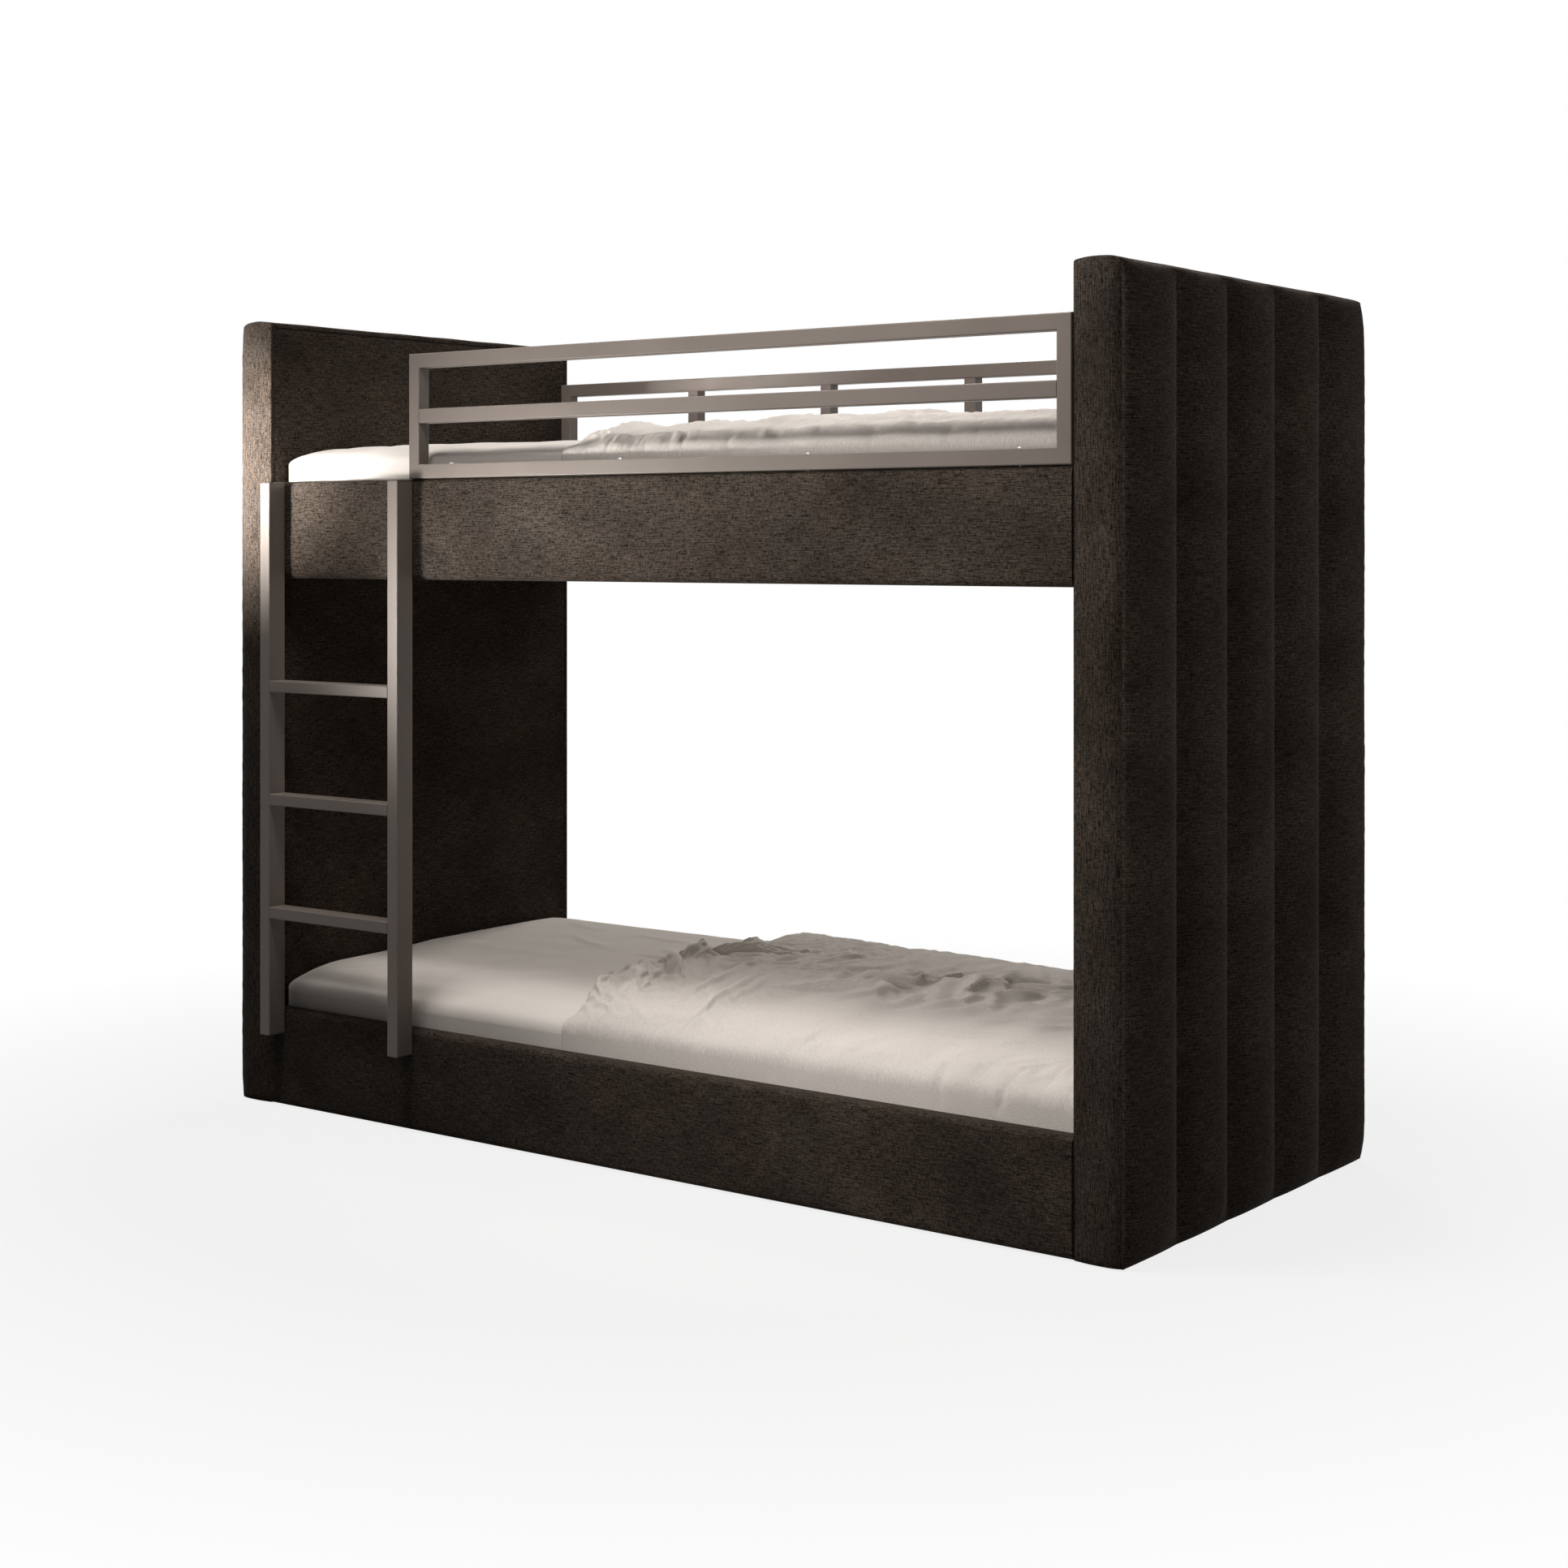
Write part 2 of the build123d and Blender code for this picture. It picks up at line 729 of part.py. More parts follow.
def sheet_section(x, base, ease):
    """Cross-section of a fitted sheet at x: a skin over the mattress, open underneath."""
    outer = mattress_top(base, sheet_gap + sheet_thickness, ease)
    inner = mattress_top(base, sheet_gap, ease)
    hem_z = base + sheet_hem_rise
    with BuildSketch(Plane.YZ.offset(x)) as section:
        with BuildLine():
            arcs_through(outer)
            arcs_through(inner)
            for above, below in ((outer[0], inner[0]), (outer[-1], inner[-1])):
                Polyline(above, (above[0], hem_z), (below[0], hem_z), below)
        make_face()
    return section.sketch


def sheet_end_section(x, base):
    """Outline of the fitted sheet's end wall at x."""
    outer = mattress_top(base, sheet_gap + sheet_thickness, mattress_end_shares[0][1])
    hem_z = base + sheet_hem_rise
    with BuildSketch(Plane.YZ.offset(x)) as section:
        with BuildLine():
            arcs_through(outer)
            Polyline(outer[0], (outer[0][0], hem_z), (outer[-1][0], hem_z), outer[-1])
        make_face()
    return section.sketch


def drawn_body(section_at, half_length):
    """A body along the bed, straight in the middle and drawn in at both ends."""
    straight = half_length - mattress_end_run
    extrude(section_at(-straight, 0), amount=2 * straight)
    for way in (-1, 1):
        loft(
            [
                section_at(way * (half_length - along * mattress_end_run), ease)
                for along, ease in mattress_end_shares
            ]
        )


def duvet_section(x, skew, base, shares):
    """Cross-section of the duvet's outer skin at x, with its thickness at seven points across.

    Its plane is turned, so that its front side leads x and its rear side trails it by skew.
    """
    half = middle_y - rail_inner_y - duvet_side_gap
    foot = base + mattress_sink - duvet_tuck
    shoulder_z = base + mattress_foot_radius + mattress_side + mattress_shoulder
    reach = half - duvet_shoulder
    slant = (half**2 + skew**2) ** 0.5 / half
    across = Plane(origin=(x, middle_y, 0), x_dir=(-skew, half, 0), z_dir=(half, skew, 0))
    tops = []
    for n, share in enumerate(shares):
        y = reach * (2 * n / (len(shares) - 1) - 1)
        rise = crown_height(y, 0) if abs(y) < reach else 0
        tops.append((slant * y, shoulder_z + rise + share * duvet_thickness))
    with BuildSketch(across) as section:
        with BuildLine():
            for way, (edge_y, edge_z) in ((-1, tops[0]), (1, tops[-1])):
                side_y = way * slant * half
                side_z = edge_z - duvet_shoulder
                Line((side_y, foot), (side_y, side_z))
                ThreePointArc(
                    (side_y, side_z),
                    (
                        way * slant * (half - bend_share * duvet_shoulder),
                        edge_z - bend_share * duvet_shoulder,
                    ),
                    (edge_y, edge_z),
                )
            arcs_through(tops)
            Line((-slant * half, foot), (slant * half, foot))
        make_face()
    return section.sketch


for level, bottom in levels.items():
    base = bottom + rail_height - mattress_sink + rest_gap

    with BuildPart() as mattress:
        drawn_body(lambda x, ease: mattress_section(x, base, 0, ease), mattress_length / 2)
    save(mattress, f"{level}_mattress")

    # Fitted sheet, a thin skin over the top and down the sides and ends
    sheet_inner_x = mattress_length / 2 + sheet_gap
    with BuildPart() as sheet:
        drawn_body(lambda x, ease: sheet_section(x, base, ease), sheet_inner_x)
        for way in (-1, 1):
            end_wall = sheet_end_section(way * sheet_inner_x, base)
            extrude(end_wall, amount=way * sheet_thickness)
    save(sheet, f"{level}_fitted_sheet")

    # Duvet, tucked in at the sides and the foot, its head end gathered and pulled askew
    duvet_foot_x = end_x - duvet_end_gap
    sheet_outside = sheet_gap + sheet_thickness
    with BuildPart() as duvet:
        loft(
            [
                duvet_section(
                    duvet_foot_x - duvet_length * (1 - along),
                    duvet_head_skew * (1 - along),
                    base,
                    shares,
                )
                for along, shares in duvet_fold_shares
            ]
        )
        extrude(
            mattress_section(0, base, sheet_outside + duvet_gap, 0),
            amount=mattress_length / 2 + sheet_outside + duvet_gap,
            both=True,
            mode=Mode.SUBTRACT,
        )
    save(duvet, f"{level}_duvet")
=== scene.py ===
import math

import bpy
import numpy as np
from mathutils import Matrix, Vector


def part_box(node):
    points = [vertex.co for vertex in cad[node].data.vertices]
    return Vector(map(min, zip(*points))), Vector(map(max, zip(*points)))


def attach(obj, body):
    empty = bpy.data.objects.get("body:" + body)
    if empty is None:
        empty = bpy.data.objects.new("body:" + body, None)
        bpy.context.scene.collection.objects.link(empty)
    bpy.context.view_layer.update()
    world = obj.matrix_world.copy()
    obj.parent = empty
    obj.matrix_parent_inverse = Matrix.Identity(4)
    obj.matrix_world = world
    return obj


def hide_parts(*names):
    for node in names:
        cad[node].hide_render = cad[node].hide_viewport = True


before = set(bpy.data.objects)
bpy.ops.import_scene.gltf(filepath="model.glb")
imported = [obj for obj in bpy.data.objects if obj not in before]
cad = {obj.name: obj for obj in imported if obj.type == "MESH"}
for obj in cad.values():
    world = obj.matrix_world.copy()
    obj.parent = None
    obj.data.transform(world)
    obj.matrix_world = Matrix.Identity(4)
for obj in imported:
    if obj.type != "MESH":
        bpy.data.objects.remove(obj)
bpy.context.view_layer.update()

# An upholstered bunk bed, dressed over its solids. Metres; X runs along the bed, Y to the rear
# and Z up. Everything takes its place from the solids' own boxes.

scene = bpy.context.scene

# Camera, as worked out from the photograph's vanishing lines
PHOTO_SIDE = 1932
HORIZON_ROW = 670.95
CAMERA_AT = (3.17619, -4.1675, 1.22418)
CAMERA_YAW = math.radians(36.899)
SENSOR_WIDTH, LENS = 36.0, 57.43

camera_data = bpy.data.cameras.new("camera")
camera_data.sensor_width = SENSOR_WIDTH
camera_data.lens = LENS
camera_data.shift_y = (HORIZON_ROW - PHOTO_SIDE / 2) / PHOTO_SIDE
camera = bpy.data.objects.new("camera", camera_data)
camera.location = CAMERA_AT
camera.rotation_euler = (math.radians(90), 0, CAMERA_YAW)
scene.collection.objects.link(camera)
scene.camera = camera
scene.view_settings.view_transform = "Standard"


# Light

WARM_WHITE = (1.0, 0.968, 0.935)
WORLD_GLOW = 0.035


def lamp(name, place, aim, size, power, spread=180):
    """A square soft box that points at a place and doesn't show itself."""
    light = bpy.data.lights.new(name, "AREA")
    light.size = size
    light.energy = power
    light.color = WARM_WHITE
    light.spread = math.radians(spread)
    holder = bpy.data.objects.new(name, light)
    holder.location = place
    way = np.array(aim, float) - np.array(place, float)
    level = math.hypot(way[0], way[1])
    holder.rotation_euler = (math.atan2(level, -way[2]), 0, math.atan2(-way[0], way[1]))
    holder.visible_camera = False
    scene.collection.objects.link(holder)


lamp("overhead", (-0.6, -1.7, 6.0), (0.0, -0.2, 0.8), 1.2, 150)
lamp("guard_left", (-0.35, -1.0, 2.3), (-0.3, -0.45, 1.45), 0.4, 2.2)
lamp("guard_right", (0.65, -1.0, 2.3), (0.75, -0.45, 1.45), 0.4, 7.5)
lamp("front_soft", (1.0, -2.6, 1.15), (0.65, -0.47, 0.85), 0.8, 2.3, 66)
lamp("low_window", (-0.9, -1.7, 1.1), (0.6, -0.42, 0.3), 0.25, 1.15, 48)
lamp("window_pool", (-1.1, -1.45, 0.95), (-0.15, -0.47, 1.24), 0.25, 4.2, 55)
lamp("left_glance", (-1.36, -1.35, 1.25), (-1.11, -0.5, 1.4), 0.2, 5.6, 40)
lamp("right_fill", (3.3, 0.9, 1.7), (1.13, -0.1, 0.9), 1.0, 15)
lamp("rear_top", (-1.2, 3.0, 3.2), (0.0, 0.2, 0.6), 1.0, 75)

world = bpy.data.worlds.new("studio")
scene.world = world
world.use_nodes = True


class Nodes:
    """A node tree that is put together by methods which each add one step."""

    def __init__(self, tree):
        self.tree = tree

    def node(self, kind, out=0, props=None, **inputs):
        """Adds a node. Inputs are values or other nodes' outputs, by name or by number as _0."""
        made = self.tree.nodes.new(kind)
        for key, value in (props or {}).items():
            setattr(made, key, value)
        for key, value in inputs.items():
            socket = made.inputs[int(key[1:]) if key[0] == "_" else key.replace("_", " ")]
            if isinstance(value, bpy.types.NodeSocket):
                self.tree.links.new(value, socket)
            else:
                socket.default_value = value
        return made.outputs[out]

    def math(self, operation, a, b=0.0):
        return self.node("ShaderNodeMath", props={"operation": operation}, _0=a, _1=b)

    def times(self, first, *others):
        for other in others:
            first = self.math("MULTIPLY", first, other)
        return first

    def plus(self, first, *others):
        for other in others:
            first = self.math("ADD", first, other)
        return first

    def seen_directly(self):
        """1 where a camera, mirror or glass ray arrives, otherwise 0."""
        path = self.tree.nodes.new("ShaderNodeLightPath").outputs
        total = path["Is Camera Ray"]
        for kind in ("Is Glossy Ray", "Is Transmission Ray"):
            clamped = {"operation": "ADD", "use_clamp": True}
            total = self.node("ShaderNodeMath", props=clamped, _0=total, _1=path[kind])
        return total


world.node_tree.nodes.clear()
sky = Nodes(world.node_tree)
glow = sky.node("ShaderNodeBackground", Color=(*WARM_WHITE, 1), Strength=WORLD_GLOW)
white = sky.node("ShaderNodeBackground", Color=(1, 1, 1, 1), Strength=1.0)
mixed = sky.node("ShaderNodeMixShader", Fac=sky.seen_directly(), _1=glow, _2=white)
world_output = sky.tree.nodes.new("ShaderNodeOutputWorld")
sky.tree.links.new(mixed, world_output.inputs["Surface"])


# Finishes


class Finish(Nodes):
    """A procedural material. Its patterns read Object coordinates, or UV on cloth."""

    def __init__(self, name, mapping="Object", **settings):
        self.material = bpy.data.materials.new(name)
        self.material.use_nodes = True
        super().__init__(self.material.node_tree)
        self.shader = self.tree.nodes["Principled BSDF"]
        self.where = self.node("ShaderNodeTexCoord", out=mapping)
        self.set(**settings)

    def set(self, **settings):
        for key, value in settings.items():
            socket = self.shader.inputs[key.replace("_", " ")]
            if isinstance(value, bpy.types.NodeSocket):
                self.tree.links.new(value, socket)
            else:
                socket.default_value = (*value, 1) if isinstance(value, tuple) else value

    def scaled(self, scale, turn=0.0):
        return self.node("ShaderNodeMapping", Vector=self.where, Scale=scale, Rotation=(0, 0, turn))

    def noise(self, scale, detail=2.0, rough=0.5, turn=0.0):
        """Noise with this many spots to a metre each way."""
        at = self.scaled(scale, turn)
        kind = "ShaderNodeTexNoise"
        return self.node(kind, Vector=at, Scale=1.0, Detail=detail, Roughness=rough)

    def lines(self, scale, turn, wobble, detail):
        at = self.scaled((scale, scale, scale), turn)
        kind = "ShaderNodeTexWave"
        return self.node(kind, out=1, Vector=at, Scale=1.0, Distortion=wobble, Detail=detail)

    def span(self, value, low, high, least=0.0, most=1.0):
        return self.node("ShaderNodeMapRange", _0=value, _1=low, _2=high, _3=least, _4=most)

    def blend(self, share, a, b):
        a, b = ((*c, 1) if isinstance(c, tuple) else c for c in (a, b))
        colours = {"data_type": "RGBA"}
        return self.node("ShaderNodeMix", out=2, props=colours, _0=share, _6=a, _7=b)

    def toned(self, value, low, high, dark, light):
        """Colours the finish from dark to light as a value runs from low to high."""
        self.set(Base_Color=self.blend(self.span(value, low, high), dark, light))

    def bump(self, height, distance, strength):
        kind = "ShaderNodeBump"
        self.set(Normal=self.node(kind, Height=height, Distance=distance, Strength=strength))


# The yarns of the melange: noise with (along, across) spots to a metre, and its share of the tone
YARNS = (((110, 420, 1), 0.3), ((30, 400, 1), 0.28), ((420, 90, 1), 0.25), ((600, 900, 1), 0.17))


def chenille(name, dark, light):
    """Melange upholstery: weft and warp yarns of mixed tone, flecked, under a cloudy nap whose
    light and dark patches are partly the cloth's own tone and partly painted sheen.
    """
    cloth = Finish(name, "UV", Roughness=0.95, Specular_IOR_Level=0.03, Sheen_Weight=0.03)
    cloth.set(Sheen_Roughness=0.5, Sheen_Tint=(0.95, 0.88, 0.8))
    yarn = 0.0
    for scale, share in YARNS:
        yarn = cloth.plus(cloth.times(cloth.noise(scale, 2, 0.6), share), yarn)
    tone = cloth.span(yarn, 0.415, 0.605)
    # Slow light and dark areas: partly the cloth's own tone where the nap lies one way or the
    # other, partly painted sheen where the nap would catch the light
    nap_tone_and_sheen = cloth.span(cloth.noise((3.4, 5.2, 1), 3, 0.55), 0.32, 0.68, 0.66, 1.3)
    bruise = cloth.span(cloth.noise((13, 17, 1), 2, 0.5), 0.3, 0.7, 0.88, 1.1)
    tone = cloth.times(tone, cloth.times(nap_tone_and_sheen, bruise))
    tint = cloth.span(cloth.noise((7, 6, 1), 2, 0.5), 0.35, 0.65)
    pale = cloth.blend(tint, light, tuple(c * k for c, k in zip(light, (0.93, 0.98, 1.04))))
    cloth.set(Base_Color=cloth.blend(tone, dark, pale))
    cloth.bump(yarn, 0.001, 0.5)
    return cloth.material


def cotton(name, dark, light, rib, rib_turn, height):
    """Washed cotton: a fine broken twill at a slant over a faint cloudy tone."""
    cloth = Finish(name, "UV", Roughness=0.9, Specular_IOR_Level=0.15, Sheen_Weight=0.05)
    ribs = cloth.lines(rib, rib_turn, 0.5, 2.0)
    broken = cloth.span(cloth.noise((210, 330, 1), 2, 0.6, rib_turn), 0.3, 0.7)
    slub = cloth.noise((90, 900, 1), 2, 0.6)
    cloud = cloth.noise((5, 7, 1), 2, 0.5)
    twill = cloth.times(ribs, broken)
    tone = cloth.plus(
        cloth.times(twill, 0.6), cloth.times(slub, 0.35), cloth.times(cloud, 0.35)
    )
    cloth.toned(tone, 0.3, 0.9, dark, light)
    cloth.bump(cloth.plus(twill, cloth.times(slub, 0.4)), height, 0.8)
    return cloth.material


def coated_steel(name, colour, shade):
    """Satin powder coat: an orange-peel skin with slightly uneven gloss."""
    coat = Finish(name, Metallic=0.0, Specular_IOR_Level=0.25)
    peel = coat.noise((420, 420, 420), 3, 0.55)
    patch = coat.noise((6, 6, 6), 2, 0.5)
    coat.toned(patch, 0.3, 0.7, shade, colour)
    coat.set(Roughness=coat.span(patch, 0.3, 0.7, 0.36, 0.46))
    coat.bump(peel, 0.00012, 0.5)
    return coat.material


def planed_wood(name, dark, light, grain, roughness=0.62):
    """Planed timber, its grain drawn out along the board."""
    wood = Finish(name, Roughness=roughness, Specular_IOR_Level=0.3)
    wide = wood.noise(grain, 4, 0.55)
    fine = wood.noise(tuple(g * 6 for g in grain), 3, 0.6)
    tone = wood.plus(wood.times(wide, 0.7), wood.times(fine, 0.3))
    wood.toned(tone, 0.36, 0.64, dark, light)
    wood.bump(fine, 0.0003, 0.5)
    return wood.material


def moulded(name, colour, shade, roughness):
    """Moulded plastic with a fine spark texture."""
    plastic = Finish(name, Roughness=roughness, Specular_IOR_Level=0.4)
    spark = plastic.noise((900, 900, 900), 2, 0.5)
    plastic.toned(spark, 0.35, 0.65, shade, colour)
    plastic.bump(spark, 0.0001, 0.6)
    return plastic.material


def zinc(name, dull, bright):
    """Bright zinc plate with a faint brushed grain."""
    metal = Finish(name, Metallic=1.0)
    brush = metal.noise((60, 60, 900), 3, 0.6)
    metal.toned(brush, 0.3, 0.7, dull, bright)
    metal.set(Roughness=metal.span(brush, 0.3, 0.7, 0.28, 0.45))
    metal.bump(brush, 0.00008, 0.4)
    return metal.material


CLOTH_DARK, CLOTH_LIGHT = (0.004, 0.0032, 0.0026), (0.1, 0.077, 0.0605)
upholstery = chenille("upholstery_chenille", CLOTH_DARK, CLOTH_LIGHT)
coat = coated_steel("taupe_powder_coat", (0.18, 0.1525, 0.134), (0.162, 0.137, 0.12))
softwood = planed_wood("planed_softwood", (0.42, 0.25, 0.12), (0.66, 0.46, 0.27), (9, 60, 60))
plywood = planed_wood("plywood", (0.36, 0.23, 0.12), (0.55, 0.39, 0.23), (60, 8, 8), 0.7)
birch = planed_wood("planed_birch", (0.62, 0.44, 0.26), (0.8, 0.64, 0.44), (60, 7, 60), 0.5)
zinc_plate = zinc("zinc_plate", (0.42, 0.42, 0.41), (0.64, 0.64, 0.62))
black_plastic = moulded("black_glide_plastic", (0.035, 0.035, 0.035), (0.02, 0.02, 0.02), 0.6)
cap_plastic = moulded("dark_cap_plastic", (0.1, 0.09, 0.08), (0.07, 0.063, 0.056), 0.5)
RIB_SLANT = math.radians(38)
sheet_cotton, duvet_cotton, ticking = (
    cotton(name, dark, light, rib, turn, height)
    for name, dark, light, rib, turn, height in (
        ("sheet_cotton", (0.7, 0.652, 0.61), (0.8, 0.757, 0.72), 150, RIB_SLANT, 0.0001),
        ("duvet_twill", (0.6, 0.553, 0.515), (0.8, 0.753, 0.714), 72, RIB_SLANT, 0.0003),
        ("mattress_ticking", (0.62, 0.6, 0.57), (0.8, 0.78, 0.75), 60, 0.0, 0.0004),
    )
)
thread = moulded("pale_thread", (0.62, 0.58, 0.53), (0.5, 0.46, 0.42), 0.8)

NODE_FINISHES = {
    "end_frame": softwood, "backing_board": plywood, "rail_core": softwood, "slat_ledges": softwood,
    "slats": birch, "brackets": zinc_plate, "bolts": zinc_plate, "screws": zinc_plate,
    "glides": black_plastic, "end_caps": cap_plastic, "tube": coat, "post": coat,
    "stringer": coat, "rung": coat,
}
for name, node in cad.items():
    for part, finish in NODE_FINISHES.items():
        if part in name:
            node.data.materials.clear()
            node.data.materials.append(finish)


# Shapes


def hills(a, b, length, seed, waves=10):
    """Smooth random hills over two coordinates, about one unit high and of about this length."""
    draw = np.random.default_rng(seed)
    total = 0.0
    for _ in range(waves):
        turn, shift = draw.uniform(0, 2 * math.pi, 2)
        pace = 2 * math.pi / (length * draw.uniform(0.6, 1.7))
        total = total + np.sin((a * math.cos(turn) + b * math.sin(turn)) * pace + shift)
    return total / math.sqrt(waves)


def smooth_line(points, steps):
    """A Catmull-Rom line through points, with this many steps between each two."""
    points = np.asarray(points, float)
    ends = np.vstack([2 * points[0] - points[1], points, 2 * points[-1] - points[-2]])
    t = np.arange(steps)[:, None] / steps
    out = []
    for a, b, c, d in zip(ends, ends[1:], ends[2:], ends[3:]):
        square, cube = 2 * a - 5 * b + 4 * c - d, 3 * b - a - 3 * c + d
        out.append(0.5 * (2 * b + (c - a) * t + square * t**2 + cube * t**3))
    return np.vstack([*out, points[-1:]])


def table_curve(x, rows):
    """Smoothly read off a table of (x, value) rows."""
    line = smooth_line(rows, 12)
    return np.interp(x, line[:, 0], line[:, 1])


def ramp(value, reach):
    """Rises straight from 0 to 1 over a reach, and stays there."""
    return np.clip(value / reach, 0, 1)


def bell(away, width):
    """1 in the middle, falling off smoothly to both sides."""
    return np.exp(-((away / width) ** 2))


def eased(share):
    """Turns a straight rise from 0 to 1 into one that starts and ends softly."""
    return share * share * (3 - 2 * share)


CREASE = 55
ROLL_STEP = (0.61, 0.37)


def dressed(made, flat_map, crease=CREASE):
    """Gives a cloth its flat map, cut from its own place on the roll, and soft shading."""
    mesh = made.data
    cut_from = np.array(ROLL_STEP) * len(bpy.data.meshes)
    flat_map = np.asarray(flat_map, np.float32) + cut_from.astype(np.float32)
    mesh.uv_layers.new(name="cloth").data.foreach_set("uv", flat_map.ravel())
    mesh.shade_smooth()
    mesh.set_sharp_from_angle(angle=math.radians(crease))


def ridden(made, body, stands_for=()):
    """Lets a finished object ride on a body and stand for some of the solids."""
    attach(made, body)
    if stands_for:
        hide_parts(*stands_for)
    return made


def meshed(name, points, faces, edges=()):
    """Adds an object of points, faces and edges to the scene."""
    mesh = bpy.data.meshes.new(name)
    mesh.from_pydata(np.asarray(points, float).reshape(-1, 3).tolist(), list(edges), faces)
    made = bpy.data.objects.new(name, mesh)
    scene.collection.objects.link(made)
    return made


def piece(name, corners, faces, flat_map, finish, body, slot, stands_for=(), crease=CREASE):
    """Adds a mesh as a piece that rides on a body and stands for some of the solids."""
    made = meshed(name, corners, faces)
    made.data.materials.append(finish)
    dressed(made, flat_map, crease)
    return ridden(made, body, stands_for)


def thickened(made, thickness):
    """Gives a sheet its thickness, on its underside."""
    wall = made.modifiers.new("thickness", "SOLIDIFY")
    wall.thickness, wall.offset = thickness, -1


def plan_map(points):
    """A flat map of a cap: its two longer directions."""
    longer = np.sort(np.argsort(np.ptp(points, axis=0))[-2:])
    return points[:, longer]


def skin(rings, thread_across=False):
    """Corners, faces and map of a closed skin through rings of points, capped at both ends."""
    rings = np.asarray(rings, float)
    count, around = rings.shape[:2]
    index = np.arange(count * around).reshape(count, around)
    onward = np.roll(index, -1, 1)
    quads = np.stack([index[:-1], onward[:-1], onward[1:], index[1:]], -1).reshape(-1, 4)
    middles = rings.mean(1)
    along = np.concatenate([[0], np.cumsum(np.linalg.norm(np.diff(middles, axis=0), axis=1))])
    steps = np.linalg.norm(np.roll(rings, -1, 1) - rings, axis=2)
    across = np.concatenate([np.zeros((count, 1)), np.cumsum(steps, 1)], 1)
    grid = np.stack([np.broadcast_to(along[:, None], across.shape), across], -1)
    if thread_across:
        grid = grid[..., ::-1]
    flat = np.stack([grid[:-1, :-1], grid[:-1, 1:], grid[1:, 1:], grid[1:, :-1]], 2)
    flat = flat.reshape(-1, 4, 2)
    corners = rings.reshape(-1, 3)
    a, b, c, d = (corners[quads[:, n]] - middles.mean(0) for n in range(4))
    volume = (np.cross(a, b) * c).sum() + (np.cross(a, c) * d).sum()
    caps = [index[0][::-1], index[-1]]
    if volume < 0:
        quads, flat = quads[:, ::-1], flat[:, ::-1]
        caps = [cap[::-1] for cap in caps]
    flat_map = [flat.reshape(-1, 2), *(plan_map(corners[cap]) for cap in caps)]
    return corners, quads.tolist() + [cap.tolist() for cap in caps], np.concatenate(flat_map)


def covered(node, rings, thread_across=False):
    """Covers a padded solid of the bed's frame with an upholstered skin."""
    cover = skin(rings, thread_across)
    made = piece(f"{node}_cloth", *cover, upholstery, "bed_frame", "upholstery", (node,))


class Growth(Nodes):
    """A geometry node tree with named inputs, whose result becomes a plain piece."""

    def __init__(self, name, **sizes):
        super().__init__(bpy.data.node_groups.new(name, "GeometryNodeTree"))
        face = self.tree.interface
        for way in ("OUTPUT", "INPUT"):
            face.new_socket("Geometry", in_out=way, socket_type="NodeSocketGeometry")
        for key, value in sizes.items():
            size = face.new_socket(key, in_out="INPUT", socket_type="NodeSocketFloat")
            size.default_value = value
        face.new_socket("finish", in_out="INPUT", socket_type="NodeSocketMaterial")
        self.into = self.tree.nodes.new("NodeGroupInput")
        self.out = self.tree.nodes.new("NodeGroupOutput")

    def given(self, key):
        return self.into.outputs[key]

    def trait(self, key, kind="FLOAT"):
        return self.node("GeometryNodeInputNamedAttribute", props={"data_type": kind}, Name=key)

    def vector(self, x=0.0, y=0.0, z=0.0):
        return self.node("ShaderNodeCombineXYZ", X=x, Y=y, Z=z)

    def joined(self, *parts):
        join = self.tree.nodes.new("GeometryNodeJoinGeometry")
        for part in parts:
            self.tree.links.new(part, join.inputs[0])
        return join.outputs[0]

    def moved(self, part, offset):
        return self.node("GeometryNodeTransform", Geometry=part, Translation=offset)

    def pointed(self, way):
        """The turn that points a part's own Z this way."""
        along = {"axis": "Z"}
        return self.node("FunctionNodeAlignRotationToVector", props=along, Vector=way)

    def placed(self, points, part, **turns):
        return self.node("GeometryNodeInstanceOnPoints", Points=points, Instance=part, **turns)

    def finish(self, part):
        real = self.node("GeometryNodeRealizeInstances", Geometry=part)
        made = self.node("GeometryNodeSetMaterial", Geometry=real, Material=self.given("finish"))
        self.tree.links.new(made, self.out.inputs[0])

    def grown(self, name, points, edges, faces, finish, traits, **sizes):
        """Grows an object from points, edges and faces whose points carry traits."""
        made = meshed(name, points, faces, edges)
        mesh = made.data
        for key, values in traits.items():
            values = np.asarray(values, np.float32)
            kind, field = ("FLOAT", "value") if values.ndim == 1 else ("FLOAT_VECTOR", "vector")
            mesh.attributes.new(key, kind, "POINT").data.foreach_set(field, values.ravel())
        grow = made.modifiers.new("grow", "NODES")
        grow.node_group = self.tree
        for item in self.tree.interface.items_tree:
            if item.in_out == "INPUT" and item.name in sizes:
                grow[item.identifier] = sizes[item.name]
            elif item.in_out == "INPUT" and item.name == "finish":
                grow[item.identifier] = finish
        shown = made.evaluated_get(bpy.context.evaluated_depsgraph_get())
        plain = bpy.data.meshes.new_from_object(shown)
        made.modifiers.clear()
        made.data = plain
        bpy.data.meshes.remove(mesh)
        plain.name = name
        for key in traits:
            if key in plain.attributes:
                plain.attributes.remove(plain.attributes[key])
        return made


# End panels

LEFT, RIGHT = -1, 1
inner_low, inner_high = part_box("right_end_inner_face")
border_low, border_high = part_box("right_end_border")
channels_low, channels_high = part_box("right_end_channels")
end_x, floor_z = inner_low.x, border_low.z
BORDER_STAND = 0.019
BORDER_SQUARENESS = 0.28
BORDER_WAVE, SEAM_RIPPLE = 0.00055, 0.00035
front_frame, rear_frame = border_low.y + BORDER_STAND, border_high.y - BORDER_STAND
top_frame = border_high.z - BORDER_STAND

